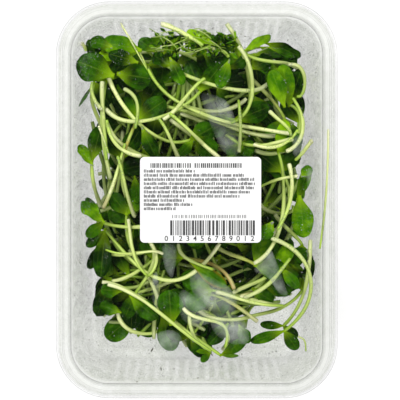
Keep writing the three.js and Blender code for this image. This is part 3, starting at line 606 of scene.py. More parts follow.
def greens_place(tree):
    """The piece's own place along and round a stem, or along and across a leaf, and its two halves."""
    place = linked(tree, "ShaderNodeUVMap", uv_map="place").outputs["UV"]
    split = linked(tree, "ShaderNodeSeparateXYZ", [("Vector", place)])
    return place, split.outputs["X"], split.outputs["Y"]


def colours_along(tree, value, first, last, *others):
    """A colour read along a row of colours by a value; others are each a share of the row and a colour."""
    ramp = linked(tree, "ShaderNodeValToRGB", [("Fac", value)])
    ramp.color_ramp.elements[0].color, ramp.color_ramp.elements[1].color = first, last
    for position, colour in others:
        ramp.color_ramp.elements.new(position).color = colour
    return ramp.outputs["Color"]


def stem_paint():
    """Cream at the cut, pale yellow-green along, greener at the neck, with fine strands along it, and brown
    spots where rust says so. Its sides and underside are greener and darker than its upper side: painted
    shade, as if lit from above."""
    paint, tree, shader = new_paint("stem_skin", **{"Roughness": 0.3, "Specular IOR Level": 0.14})
    place, way, round_it = greens_place(tree)
    along = colours_along(tree, way, (0.94, 0.93, 0.6, 1), (0.42, 0.62, 0.07, 1),
                          (0.14, (0.9, 0.93, 0.46, 1)), (0.6, (0.74, 0.86, 0.26, 1)))
    tone = between(tree, read_value(tree, "light"), (0.17, 0.29, 0.02, 1), along)
    # Painted shade: the stem's sides and underside turn darker and greener, and only its upper side keeps its
    # full colour.
    back = sum_of(tree, "SINE", sum_of(tree, "MULTIPLY", round_it, 2 * np.pi))
    painted_side_shade = between(tree, spread(tree, back, 0.2, 0.95, 0, 1), (0.52, 0.66, 0.28, 1), (1, 1, 1, 1))
    strands = linked(tree, "ShaderNodeMapping", [("Vector", place), ("Scale", (3, 26, 1))]).outputs[0]
    fibre = linked(tree, "ShaderNodeTexNoise", [("Vector", strands), ("Scale", 1), ("Detail", 2)]).outputs[0]
    tone = times(tree, times(tree, tone, painted_side_shade), spread(tree, fibre, 0.3, 0.7, 0.82, 1.1))
    browned = sum_of(tree, "MULTIPLY", grained(tree, 90, 0, 1), read_value(tree, "rust"))
    tree.links.new(between(tree, browned, tone, (0.42, 0.2, 0.05, 1)), shader.inputs["Base Color"])
    dented(tree, shader, fibre, 0.25)
    return paint


def leaf_paint():
    """Deep waxy green, mottled, lighter where light says so and yellower towards the stalk, with a faint
    middle vein and two side veins, and a scorched margin where rust says so."""
    paint, tree, shader = new_paint("cotyledon_skin", **{"Specular IOR Level": 0.03})
    _, way, across = greens_place(tree)
    level = sum_of(tree, "ADD", read_value(tree, "light"), grained(tree, 130, -0.2, 0.24))
    level = sum_of(tree, "ADD", level, grained(tree, 700, -0.07, 0.07))
    green = colours_along(tree, level, (0.004, 0.022, 0.0001, 1), (0.24, 0.46, 0.002, 1),
                          (0.4, (0.036, 0.135, 0.0003, 1)))
    stalk = sum_of(tree, "POWER", spread(tree, way, 0, 0.5, 0.9, 0), 1.6)
    tone = between(tree, stalk, green, (0.26, 0.43, 0.006, 1))
    aside = sum_of(tree, "ABSOLUTE", across)
    rib = spread(tree, aside, 0, 0.08, 0.14, 0)
    side_rib = spread(tree, sum_of(tree, "ABSOLUTE", sum_of(tree, "SUBTRACT", aside, 0.5)), 0, 0.05, 0.06, 0)
    tone = between(tree, sum_of(tree, "MAXIMUM", rib, side_rib), tone, (0.3, 0.45, 0.05, 1))
    scorch = sum_of(tree, "MULTIPLY", spread(tree, aside, 0.6, 0.95, 0, 1), read_value(tree, "rust"))
    tree.links.new(between(tree, scorch, tone, (0.42, 0.17, 0.02, 1)), shader.inputs["Base Color"])
    tree.links.new(grained(tree, 900, 0.16, 0.3), shader.inputs["Roughness"])
    dented(tree, shader, grained(tree, 500, 0, 1), 0.4)
    return paint


stem_skin, leaf_skin = stem_paint(), leaf_paint()
taken = []  # the points of every stem and leaf, in the order in which they are put down


def place_greens(name, parts, *replaced):
    """Puts stems and leaves in the scene as one piece, in their two skins."""
    piece = dress(name, sprout_mesh(name, parts), "greens", *replaced)
    piece.data.materials.append(stem_skin)
    piece.data.materials.append(leaf_skin)


TUFT_COUNT, TUFT_SPROUTS, TUFT_TRIES, TUFT_SEED = 7, 5, 30, 22
TRY_DRAWS = 5 + TUFT_SPROUTS * 11
TUFT_DRAWS = TUFT_COUNT * TUFT_TRIES * TRY_DRAWS
number = draws(TUFT_SEED, TUFT_DRAWS + 2 * 2 * len(SPROUTS))
later = iter(number[TUFT_DRAWS:])
for row, (name, sizes) in enumerate(SPROUTS.items()):
    route, (lightness, rustiness) = np.reshape(sizes[:8], (4, 2)), sizes[8:10]
    leaves = [
        leaf_toward(route[3], (x, y), width, light, 0.2 * next(later), -0.3 + 0.9 * next(later))
        for x, y, width, light in np.reshape(sizes[10:], (-1, 4))
    ]
    radii = (THREAD, THREAD) if name == "thread" else (STEM_CUT, STEM_NECK)
    fits = radii, RING_STEP, LEAF_STATIONS
    parts = sprout_parts(corners_of("sprout_" + name), route, leaves, *fits, lightness, rustiness, row)
    taken += [part[0] for part in parts]
    place_greens("greens_" + name, parts, "sprout_" + name)

# ---- Tufts -----------------------------------------------------------------------------------------------
# Under the sprouts on top lie more of them, cut together in tufts: side by side at the cut, fanned out from
# it. The same draws as the solids' give many tufts, and the one whose tips fall on the solid is made.
TUFT_RING_STEP, TUFT_STATIONS = 12, [0.16, 0.52, 0.88]


def tuft_sprouts(drawn):
    """One tuft from its draws: a heading, a length, a bend and a middle, and for each sprout its reach and
    the opening, span, width, arch and cup of its two cotyledons."""
    heading, length, bend = 2 * np.pi * drawn[0], 58 + 18 * drawn[1], -13 + 26 * drawn[2]
    middle = np.array([-36 + 72 * drawn[3], -62 + 124 * drawn[4]])
    ahead, aside = headed(heading)
    sprouts = []
    for n, own in enumerate(drawn[5:].reshape(TUFT_SPROUTS, 11)):
        k = n - (TUFT_SPROUTS - 1) / 2
        reach = length * (0.75 + 0.35 * own[0])
        route = [
            middle + ahead * (share * reach - length / 2) + aside * (fan * k + bend * pull)
            for share, fan, pull in [(0, 1.7, 0), (1 / 3, 4.4, 0.8), (2 / 3, 8, 1), (1, 12, 0.5)]
        ]
        leaves = [
            dict(heading=heading + side * np.radians(20 + 55 * opening), span=15 + 5 * span,
                 width=9 + 3 * width, light=0.05 + 0.35 * width, arch=0.25 * arch, cup=-0.3 + 0.9 * cup)
            for side, (opening, span, width, arch, cup) in zip((-1, 1), own[1:].reshape(2, 5))
        ]
        sprouts.append((route, leaves))
    return sprouts


def miss(sprouts, corners):
    """How far the cotyledons' tips lie from the solid's nearest corners, seen from above, at the most."""
    tips = np.array([leaf_tip(route[3], leaf) for route, leaves in sprouts for leaf in leaves])
    return np.hypot(*(tips[:, None] - corners[None, :, :2]).transpose(2, 0, 1)).min(1).max()


for tuft, tries in enumerate(number[:TUFT_DRAWS].reshape(TUFT_COUNT, TUFT_TRIES, TRY_DRAWS)):
    name = f"tuft_{tuft + 1}"
    corners = corners_of(name)
    parts = []
    kept = min((tuft_sprouts(drawn) for drawn in tries), key=lambda sprouts: miss(sprouts, corners))
    for n, (route, leaves) in enumerate(kept):
        fits = (STEM_CUT, STEM_NECK), TUFT_RING_STEP, TUFT_STATIONS
        parts += sprout_parts(corners, route, leaves, *fits, 0.08 * n, 0, tuft + n)
    taken += [part[0] for part in parts]
    place_greens("greens_" + name, parts, name)

# ---- Sprouts deep in the heap ----------------------------------------------------------------------------
# The heap is packed with more of the same sprouts than can be seen from above. Each is turned at random and
# sinks to the lowest place where it presses least on the others, in a grid of one-millimetre cells that
# marks what the tray and the greens take up.
GRID = np.array([132, 186, 56])
GRID_CORNER = np.array([HALF_WIDTH, HALF_LENGTH, 0])
middle_cell = (GRID[:2] - 1) / 2
walled, blocked = np.zeros(GRID, bool), np.zeros(GRID, bool)
plan_x, plan_y = np.meshgrid(*(np.arange(GRID[axis]) - middle_cell[axis] for axis in (0, 1)), indexing="ij")


def inset_at(x, y):
    """How far a spot lies inside the skirt's outline."""
    dx, dy = np.abs(x) - HALF_WIDTH + CORNER, np.abs(y) - HALF_LENGTH + CORNER
    return CORNER - np.hypot(np.maximum(dx, 0), np.maximum(dy, 0)) - np.minimum(np.maximum(dx, dy), 0)


def tray_height(x, y):
    """The height of the tray's inner face: its floor, and its wall where the spot lies under the wall."""
    climb = FOOT_INSET + SHEET + FLUTE_DEPTH - inset_at(x, y)
    wall = FOOT_HEIGHT + climb * (HEAD_HEIGHT - FOOT_HEIGHT) / (FOOT_INSET - HEAD_INSET)
    return np.where(climb <= 0, FLOOR_TOP, wall)


def cells_of(points):
    """The grid cells that points fall in."""
    return np.clip(np.floor(points + GRID_CORNER).astype(int), 1, GRID - 2)


def mark(points):
    """Marks the cells of points and the cells next to them as taken."""
    near = np.stack(np.meshgrid(*[[-1, 0, 1]] * 3), -1).reshape(-1, 3)
    cells = (np.unique(cells_of(points), axis=0)[:, None] + near).reshape(-1, 3)
    blocked[tuple(cells.T)] = True


def height_map(parts):
    """How high the greens reach over each cell, seen from above, spread to the cells beside it."""
    top = np.zeros(GRID[:2])
    for points in parts:
        cells = cells_of(points)
        np.maximum.at(top, (cells[:, 0], cells[:, 1]), points[:, 2])
    for axis in (0, 1):
        top = np.maximum(top, np.maximum(np.roll(top, 1, axis), np.roll(top, -1, axis)))
    return top


def easiest_rise(points):
    """The number of cells that points have to rise, and its cost: each cell of rise costs 1, each point that
    falls in a taken cell 0.1, and each that falls in the tray or above the heap 100."""
    cells = cells_of(points)
    rises = np.arange(GRID[2])
    spots = cells[:, 0][:, None], cells[:, 1][:, None], np.minimum(cells[:, 2][:, None] + rises, GRID[2] - 1)
    cost = rises + 0.1 * blocked[spots].sum(0) + 100 * walled[spots].sum(0)
    return int(cost.argmin()), cost.min()


wide_open = (np.abs(plan_x) < 51) & (plan_y > -30) & (plan_y < 76)
left_lobe = np.hypot((plan_x + 26) / 26, (plan_y + 40) / 29) < 1
right_lobe = np.hypot((plan_x - 31) / 24, (plan_y + 34) / 20) < 1
low_middle = np.hypot((plan_x - 1) / 30, (plan_y + 48) / 27) < 1
heaped = wide_open | left_lobe | right_lobe | low_middle
for points in taken:
    mark(points)
cover = height_map(taken)
levels = np.arange(GRID[2]) + 0.5
FAR_TOP, NEAR_TOP, HIGHEST_TOP, SHEET_ROOM = 27, 22, 52, 0.8
heap_top = np.minimum(np.maximum(cover, np.where(plan_y > 10, FAR_TOP, NEAR_TOP)), HIGHEST_TOP)
walled |= levels < tray_height(plan_x, plan_y)[..., None] + SHEET_ROOM
walled |= levels > heap_top[..., None]

DEEP_SPROUTS, FIRST_BARE, FIRST_SHORT, DEEP_TRIES, MOST_COST = 340, 191, 230, 8, 60
SHORT_OVER_HEAP, LONG_OVER_HEAP = 0.88, 0.97  # the least share of a sprout's points over the heap's plan
chance = np.random.default_rng(7)
deep_parts = []
for n in range(DEEP_SPROUTS):
    best_cost, best_parts = MOST_COST, None
    bare, short = FIRST_BARE <= n < FIRST_SHORT, n >= FIRST_SHORT
    for _ in range(DEEP_TRIES):
        heading, bend = chance.uniform(0, 2 * np.pi), chance.uniform(-12, 12) * (0.4 if short else 1)
        length = chance.uniform(34, 62) * (0.5 if short else 1.2 if bare else 1)
        ahead, aside = headed(heading)
        middle = np.array([chance.uniform(-44, 44), chance.uniform(-62, 72)])
        if short:
            gaps = np.argwhere(heaped & (cover == 0))
            if len(gaps):
                middle = gaps[chance.integers(len(gaps))] - middle_cell - ahead * (length / 2 + 8)
        route = [
            middle + ahead * length * (share - 0.5) + aside * bend * pull
            for share, pull in [(0, 0), (1 / 3, 0.8), (2 / 3, 1), (1, 0.5)]
        ]
        t, plan, run = stem_route(route)
        slope, sag = chance.uniform(-0.16, 0.16), chance.uniform(-0.003, 0.003)
        height = slope * (run - run[-1] / 2) + sag * (run - run[-1] / 2) ** 2
        line = np.column_stack([plan, height - height.min() + 2, STEM_CUT + (STEM_NECK - STEM_CUT) * t])
        parts = [(*stem_surface(line, run, n, 6, 16), 0, chance.uniform(0, 0.5), 0)]
        for side in () if bare else (-1, 1):
            leaf = dict(
                heading=heading + side * np.radians(chance.uniform(15, 75)), span=chance.uniform(13, 19),
                width=chance.uniform(8, 12), arch=chance.uniform(0, 0.3), cup=chance.uniform(-0.4, 0.6))
            roll, tilt = np.radians(chance.uniform(-50, 50)), np.radians(chance.uniform(-25, 25))
            surface = leaf_surface(leaf, np.array([*plan[-1], line[-1, 2]]), roll, tilt, n, 10, 12)
            parts.append((*surface, 1, chance.uniform(-0.15, 0.15), 0))
        points = np.concatenate([part[0] for part in parts])
        low = points[:, 2].min()
        points = points - [0, 0, low]
        over_heap = heaped[tuple(cells_of(points)[:, :2].T)].mean()
        if over_heap < (SHORT_OVER_HEAP if short else LONG_OVER_HEAP):
            continue
        rise, cost = easiest_rise(points)
        if cost < best_cost:
            best_cost, best_parts = cost, [(part[0] + [0, 0, rise - low], *part[1:]) for part in parts]
    for part in best_parts or []:
        deep_parts.append(part)
        mark(part[0])
        taken.append(part[0])
        cover = np.maximum(cover, height_map([part[0]]))
place_greens("greens_deep_1", deep_parts[::2])
place_greens("greens_deep_2", deep_parts[1::2])

# ---- Loose cotyledons and bare stems ---------------------------------------------------------------------
# Cotyledons that broke off, or whose stems go straight down, lie limp over the heap under the lid, and
# stems that have lost theirs lie over them, held up where the heap is highest and sagging between. Torn
# scraps and fibres lie at the tray's far end.
UNDER_PANEL, SCRAPS_UNDER = 53.4, 51.6
LEAF_LIMPNESS, SCRAP_LIMPNESS, STEM_LIMPNESS = 0.02, 0.1, 0.03
LEFT_OUT = (0, 53, 0, 0.9)  # the last four values of a leaf's row, where the row ends before them
LOOSE_LEAVES = [  # neck, tip, width, lightness, cup, roll in degrees, greatest height, rust, ruffle
    (-39.8, 58.8, -56.5, 65.3, 14.2, 0.13, 0.25, 0, 53.3),
    (-27.0, 71.1, -45.2, 74.9, 10.6, 0.45, -0.35, 0, 51.2),
    (-28.4, 65.3, -41.8, 69.2, 7.7, 0, 0.2, 0, 51.6),
    (-37.5, 60.3, -21.8, 57.9, 12.2, 0.14, 0.3),
    (-40.2, 72.3, -50.7, 75.7, 7.0, 0.08, 0.5, 10, 52, 0, 1.6),
    (-20.3, 71.1, -27.6, 76.4, 7.2, 0.08, 0.2, 0, 52),
    (7.9, 72.9, -4.7, 79.7, 6.2, 0.85, 0.5, 20),
    (15.7, 66.9, 5.2, 74.1, 7.7, 0.1, 0.5, 0, 47, 0, 1.8),
    (22.3, 70.1, 35.2, 77.8, 4.8, 0.6, 0.8, 20, 53, 0, 1.8),
    (34.5, 77.1, 51.3, 70.4, 6.2, 0.02, 0.9, 20, 53.2, 0, 2.2),
    (34.5, 73.3, 47.2, 68.1, 3.6, 0.1, 0.9, -20, 53.2, 0, 2.2),
    (3.1, 69.9, 11.2, 62.4, 6.0, 0.3, 0.4, 0, 47, 0, 1.8),
    (-15.5, 69.9, -6.5, 77.1, 7.2, 0.05, 0.6, 10, 47, 0, 2),
    (3.1, 73.5, -6.5, 77.7, 6.7, 0.1, 0.6, -10, 48, 0, 2),
    (-1.7, 68.7, 7.9, 75.9, 7.2, 0, 0.5, 0, 45, 0, 1.8),
    (9.1, 71.1, 17.5, 77.7, 6.2, 0.08, 0.6, 15, 48, 0, 2),
    (15.1, 62.7, 23.5, 68.1, 7.2, 0.02, 0.4, 0, 44, 0, 1.6),
    (-12.5, 63.9, -20.9, 69.3, 7.2, 0, 0.4, 0, 44, 0, 1.6),
    (25.9, 62.7, 36.7, 68.1, 7.9, 0.02, 0.4, 0, 42, 0, 1.6),
    (42.1, 45.3, 35.7, 62.4, 8.4, 0.45, 0.3, 0, 41),
    (39.7, 62.4, 28.9, 63.9, 5.5, 0.38, 0.4, 0, 40, 0, 1.4),
    (49.3, 1.2, 50.8, -18.0, 10.6, 0.5, 0.3),
    (49.9, 11.1, 54.7, 15.9, 5.3, 0.45, 0.3),
    (-2.3, -30.4, 14.3, -42.0, 7.4, 0.42, 0.35, 10, 53.2, 0.35),
    (-12.2, -60.0, -13.4, -43.5, 12.5, 0.25, 0.2, 0, 43),
    (-32.0, -46.6, -19.4, -58.2, 9, 0.2, 0.3, -15, 43),
    (-36.8, -44.2, -46.6, -43.6, 7.4, 0.2, 0.3),
    (-37.5, -55.2, -47.8, -51.6, 6.7, 0.2, 0.7, 20, 53, 0, 2),
    (-30.0, 11.1, -28.8, -1.5, 5.3, 0.45, 0.3),
    (-49.2, 16.5, -55.8, 25.2, 4.6, 0.6, 0.8, 25, 53, 0, 2),
    (-44.4, -10.5, -55.0, -0.9, 7.4, 0.45, 0.8, -20, 53, 0, 2),
    (-25.8, 33.9, -19.5, 20.4, 7.0, 0.12, 0.3),
    (20.5, 26.7, 27.8, 23.1, 8.4, 0.22, 0.2),
    (-1.7, 28.5, -8.3, 21.3, 5.3, 0.35, 0.3),
    (15.1, 65.1, 10.3, 52.5, 6.7, 0.3, 0.3),
    (-12.5, 66.9, -6.5, 54.3, 6.2, 0.3, 0.3),
    (35.5, -10.5, 30.9, -18.3, 7.2, 0.45, 0.3),
    (39.7, -32.2, 48.1, -41.8, 5.5, 0.3, 0.4),
    (15.1, -61.0, 6.1, -71.2, 7.2, 0.12, 0.2, 0, 40),
    (20.5, -61.0, 25.1, -69.6, 6.2, 0.15, 0.2, 0, 40),
    (34.3, -35.8, 45.1, -46.0, 8.4, 0.06, 0.2, 0, 36),
    (27.1, -43.0, 37.3, -49.6, 7.2, 0.1, 0.2, 0, 34),
    (46.3, -32.2, 51.7, -41.2, 6.7, 0.08, 0.2, 0, 36),
]
BARE_STEMS = [  # four points from the cut, lightness, share of the common radius
    (-36.1, 84, -30.8, 74.6, -26.7, 67.2, -22.9, 60.8, 1, 0.36),
    (-46.2, 34.8, -44.4, 30.3, -43.0, 26.4, -41.8, 22.1, 1, 0.45),
    (-55.4, 74.9, -54.3, 74.1, -53.6, 72.8, -53.1, 71.3, 1, 0.9),
    (48.7, -66.0, 51.7, -67.6, 52.5, -70.3, 52.8, -73.2, 0.6, 0.45),
    (45, 31.5, 20, 36, -6, 45, -23, 62, 0.8, 1),
    (-16, 38, -9, 44, -2, 52, 4, 57, 0.8, 1),
    (46, 29, 37, 27, 30, 26, 22, 27, 0.8, 1),
    (-34.5, 52.8, -29.4, 48.5, -27.8, 42.2, -29.0, 33.6, 0.5, 0.9),
    (-44.3, 55.5, -44.3, 43.0, -43.5, 32.0, -42.7, 18.7, 0.6, 1.05),
    (-16.5, 82.5, -10, 80, -3.5, 76.5, 3, 72.3, 1, 1.1),
    (19.5, 72.0, 25.4, 60.2, 25.4, 46.1, 16.4, 36.7, 0.6, 1),
    (43.8, 64.5, 50.9, 61.2, 51.7, 53.2, 48.5, 50.1, 0.6, 0.9),
    (10.9, 20.2, 3.1, 26.7, -4.7, 33.9, -12.8, 40.8, 0.95, 1),
    (-8.9, 20.4, -11.6, 26.7, -14.3, 32.7, -17.9, 38.4, 0.7, 0.9),
    (20.3, 22.8, 20.8, 31.5, 20.6, 39.9, 19.9, 47.7, 0.5, 0.85),
    (48.1, 11.3, 42.7, 10.6, 36.9, 9.1, 30.9, 6.3, 0.85, 0.8),
    (42.7, 23.1, 49.3, 29.1, 50.6, 38.7, 46.3, 49.2, 0.8, 1),
    (27.1, 26.4, 34.3, 24.9, 41.5, 26.7, 48.1, 33.3, 0.9, 0.9),
    (-41.4, 2.7, -38.4, 11.1, -36.0, 19.5, -33.9, 26.7, 0.8, 0.8),
    (-30.0, -8.1, -33.0, 2.7, -34.8, 11.1, -37.5, 20.7, 0.7, 0.9),
    (-26.4, 20.7, -34.2, 23.1, -39.6, 28.5, -42.3, 37.5, 0.85, 1),
    (-44.4, 42.3, -47.4, 45.9, -49.2, 50.7, -48.8, 55.2, 0.6, 0.9),
    (43.9, 17.1, 45.3, 7.5, 43.6, -2.1, 37.9, -14.1, 0.8, 1),
    (22.7, -46.3, 32.1, -40.8, 38.3, -34.5, 43.8, -27.5, 0.65, 1),
    (-3.5, -55.0, -2.7, -62.2, 0.1, -68.2, 4.5, -73.2, 0.7, 0.9),
    (-6.5, -52.0, 3.1, -57.4, 12.7, -61.0, 13.9, -72.4, 0.95, 0.9),
    (9.4, -43.9, 17, -45.8, 27, -48.6, 41.5, -50.6, 0.75, 0.9),
    (-22.2, -21.3, -19.5, -27.4, -20.7, -33.4, -24.3, -37.0, 0.8, 0.9),
    (-16.1, -26.1, -23.4, -24.9, -33.0, -26.1, -44.4, -24.3, 0.9, 0.7),
    (-33.0, -9.3, -31.8, -18.9, -29.4, -28.6, -24.0, -36.4, 0.85, 0.9),
    (-8.9, -21.3, -7.1, -26.1, -1.7, -29.8, 7.9, -33.4, 0.6, 0.9),
    (-46.2, 34.8, -44.0, 29.1, -42.8, 25.5, -41.6, 21.9, 1, 0.5),
    (34.9, 42.3, 39.7, 37.5, 43.3, 33.9, 44.5, 30.3, 0.7, 0.9),
    (-43, -40.8, -26, -48.6, -9, -61.5, 7, -73.5, 0.8, 0.95),
]


def laid(points, limpness, ceiling):
    """How far each point is lifted to lie on the heap: to the height under it, or to less than that of a
    higher spot under the same piece by the square of the way to it."""
    cells = cells_of(points)
    plan = points[:, :2]
    spots, first = np.unique(cells[:, :2], axis=0, return_index=True)
    away = ((plan[:, None] - plan[first][None]) ** 2).sum(2)
    lift = (top[spots[:, 0], spots[:, 1]][None] - limpness * away).max(1)
    return lift - max(0, (points[:, 2] + lift).max() - ceiling)


top = height_map(taken)
loose_parts = []
for n, row in enumerate(LOOSE_LEAVES):
    width, lightness, cup, roll, ceiling, rustiness, ruffle = row[4:] + LEFT_OUT[len(row) - 7:]
    leaf = leaf_toward(row[:2], row[2:4], width, lightness, 0.08, cup)
    surface = leaf_surface(leaf, np.array([*row[:2], 1.2]), np.radians(roll), 0, n, ruffle=ruffle)
    surface[0][:, 2] += laid(surface[0], LEAF_LIMPNESS, ceiling)
    taken.append(surface[0])
    loose_parts.append((*surface, 1, lightness, rustiness))

SCRAPS, FIBRES = 100, 26
torn = np.random.default_rng(19)
top = height_map(taken)
for n in range(SCRAPS):
    leaf = dict(heading=torn.uniform(0, 2 * np.pi), span=torn.uniform(1.8, 5), width=torn.uniform(0.7, 2.2),
                arch=0.1, cup=0.5)
    place = np.array([torn.uniform(-20, 19), 74 + torn.uniform(-5, 5), torn.uniform(0.3, 2)])
    surface = leaf_surface(leaf, place, torn.uniform(-0.8, 0.8), torn.uniform(-0.15, 0.1), n, 6, 8, 0.9)
    surface[0][:, 2] += laid(surface[0], SCRAP_LIMPNESS, SCRAPS_UNDER)
    taken.append(surface[0])
    loose_parts.append((*surface, 1, torn.uniform(-0.1, 0.65), 0))
top = height_map(taken)
for n in range(FIBRES):
    heading, length, curl = torn.uniform(-0.9, 0.5), torn.uniform(4, 13), torn.uniform(-1, 1)
    ahead, aside = headed(heading)
    middle = np.array([torn.uniform(-19, 17), 74.5 + torn.uniform(-6, 5)])
    t = np.linspace(-0.5, 0.5, 8)
    plan = middle + length * t[:, None] * ahead + curl * (1 - 4 * t**2)[:, None] * aside
    radius = np.full(len(t), torn.uniform(0.15, 0.35))
    line = np.column_stack([plan, radius + torn.uniform(0.2, 2.2), radius])
    line[:, 2] += laid(line[:, :3], SCRAP_LIMPNESS, UNDER_PANEL)
    loose_parts.append((*stem_surface(line, (t + 0.5) * length, n, 6, 8), 0, torn.uniform(0, 0.5), 0))
for n, row in enumerate(BARE_STEMS):
    t, plan, run = stem_route(np.reshape(row[:8], (4, 2)))
    radius = row[9] * (STEM_CUT + (STEM_NECK - STEM_CUT) * t)
    line = np.column_stack([plan, radius + 0.2, radius])
    line[:, 2] += laid(line[:, :3], STEM_LIMPNESS, np.inf)
    line[:, 2] = np.minimum(line[:, 2], UNDER_PANEL - radius)
    surface = stem_surface(line, run, n)
    taken.append(surface[0])
    top = np.maximum(top, height_map([surface[0]]))
    loose_parts.append((*surface, 0, row[8], 0))
place_greens("greens_loose", loose_parts)

# ---- Caught stem -----------------------------------------------------------------------------------------
# One bare stem, as thin as a thread, was caught at the rim when the lid was pressed on. It lies on the
# tray's flange, in the hollow of the lid's bead.
CAUGHT_HEIGHT, CAUGHT_RADIUS = 52.9, 0.6
_, plan, run = stem_route([[61.6, 33], [61.2, 14], [59.9, -5], [57.6, -23]])
line = np.column_stack([plan, np.tile([CAUGHT_HEIGHT, CAUGHT_RADIUS], (len(plan), 1))])
place_greens("greens_caught", [(*stem_surface(line, run, 1), 0, 0.9, 0)], "sprout_caught")

# ---- Label -----------------------------------------------------------------------------------------------
# A white coated paper label on the lid, printed in a label printer's black: a heading and rows of small
# print are only hinted at by bars, over a bar pattern with plain digits under it.
PRINT_HEIGHT = 55.03
HEADING, NUMBERS, BAR_PATTERN = (14.9, 17.1), (-8.6, -7.0), (-16.6, -9.6)  # foot and top of each
PRINT_LEFT, FIRST_LINE, LINE_STEP, PRINT_STROKE, NUMBER_STROKE = -24.7, 12.7, 1.95, 0.44, 0.32
DIGIT_SIZE, DIGIT_LEFT, DIGIT_STEP, DIGIT_FOOT = 3.4, -14.2, 3.35, -19.2


def mottled(tree, shader, scale, first, second):
    """Gives a shader a base colour that wanders between two by the grain effect."""
    tree.links.new(between(tree, grained(tree, scale, 0, 1), first, second), shader.inputs["Base Color"])


paper, tree, shader = new_paint("label_white", Roughness=0.6)
mottled(tree, shader, 2500, (0.7, 0.7, 0.7, 1), (0.76, 0.76, 0.75, 1))
solids["label"].data.materials.clear()
solids["label"].data.materials.append(paper)

marks = np.random.default_rng(11)
bars = []
x = -21.6
for strokes in (20, 24):
    for _ in range(strokes):
        bars.append((x, x + marks.choice([0.45, 0.62]), *HEADING))
        x += marks.choice([0.86, 1.05])
    x += 1.3
for row, end in enumerate([-1, 22, 26.5, 26.8, 26.5, 24.5, 20, -6, -2, -10]):
    x, base = PRINT_LEFT, FIRST_LINE - LINE_STEP * row
    while x < end:
        for _ in range(int(marks.integers(4, 16))):
            high = marks.choice([1.2, 1.2, 1.5])
            if x < end:
                bars.append((x, x + PRINT_STROKE, base, base + high))
            x += marks.choice([0.58, 0.74])
        x += 0.5
x = -11.4
while x < 23.4:
    bars.append((x, x + NUMBER_STROKE, *NUMBERS))
    x += marks.choice([0.7, 0.8, 1.1])
x = -12.4
while x < 26.2:
    width = marks.choice([0.35, 0.35, 0.7, 1.05])
    bars.append((x, x + width, *BAR_PATTERN))
    x += width + marks.choice([0.35, 0.35, 0.7])
left, right, bottom, top_side = np.array(bars).T
high = np.full(len(bars), PRINT_HEIGHT)
corners = [(left, bottom), (right, bottom), (right, top_side), (left, top_side)]
ink_points = np.stack([np.stack([x, y, high], 1) for x, y in corners], 1).reshape(-1, 3)
ink_mesh = new_mesh("label_print", ink_points, np.arange(len(ink_points)).reshape(-1, 4).tolist())
dress("label_print", ink_mesh, "label_paper")
black, tree, shader = new_paint("printer_black", Roughness=0.5)
mottled(tree, shader, 4000, (0.012, 0.012, 0.014, 1), (0.05, 0.05, 0.05, 1))
ink_mesh.materials.append(black)
for n, digit in enumerate("0123456789012"):
    text = bpy.data.curves.new(f"digit_{n}", "FONT")
    text.body = digit
    text.size = DIGIT_SIZE / 1000
    text.offset = 0.00005
    text.align_x = "CENTER"
    drawn = bpy.data.objects.new(f"digit_{n}", text)
    bpy.context.scene.collection.objects.link(drawn)
    bpy.context.view_layer.update()
    flat = bpy.data.meshes.new_from_object(drawn)
    bpy.data.objects.remove(drawn)
    move = np.array([DIGIT_LEFT + DIGIT_STEP * n, DIGIT_FOOT, PRINT_HEIGHT]) / 1000
    flat_points = np.zeros(len(flat.vertices) * 3)
    flat.vertices.foreach_get("co", flat_points)
    flat.vertices.foreach_set("co", (flat_points.reshape(-1, 3) + move).ravel())
    flat.materials.clear()
    flat.materials.append(black)
    dress(f"label_digit_{n}", flat, "label_paper")

# ---- Condensation ----------------------------------------------------------------------------------------
# The greens breathe under the lid, so a film of fine mist has gathered in patches on the panel's underside,
# and beads of clear water hang on the lid and lie on the tray's floor and wall and on the greens.
FILM_HEIGHT, LID_BEAD_HEIGHT, LOWEST_BEAD = 53.85, 53.88, 40
TRAY_BEADS, LID_TRIES, LID_BEADS, GREENS_BEADS = 4600, 16000, 5800, 1500
PATCHES = [  # an outline's x and y by turns
    (1.3, 50.1, 7.9, 49.2, 13.9, 46.5, 17.2, 41.1, 20.5, 26.7, 19.3, 20.7, 15.1, 20.4, 11.7, 23.1, 7.9, 31.5,
     4.0, 41.1),
    (7.9, 49.2, 13.9, 46.5, 17.2, 41.1, 15.1, 31.5, 9.7, 37.5),
    (34.3, -21.3, 39.7, -35.2, 43.3, -46.0, 38.5, -44.2, 33.1, -35.8, 25.9, -33.4, 30.7, -28.0),
    (-16.5, -20.5, -9.5, -20.5, -9.5, -29, -11.5, -38, -15.5, -31),
    (-3.2, -31.6, 5.5, -35.8, 13.9, -39.4, 19.3, -46.0, 17.5, -55.0, 4.3, -52.0, -3.2, -41.8),
    (-8.3, -40.6, 3.1, -47.2, 7.9, -57.4, -1.7, -59.8, -8.0, -55.0),
    (4.3, -52.0, 19.9, -53.8, 24.1, -58.6, 24.7, -67.6, 15.1, -67.6, 7.9, -62.2),
    (-18.5, -62, -12, -60.5, -7.5, -63, -6.5, -69, -9.5, -73.8, -13, -75.5, -17.5, -73.5, -19.8, -68),
    (51.1, 15.3, 55.9, 14.1, 55.9, 4.5, 51.7, 3.9),
    (44.5, 29.1, 49.9, 31.5, 51.1, 21.9, 45.1, 19.5),
    (-20.5, -35, -18.4, -33, -17, -44, -19.1, -54, -21.5, -44),
]


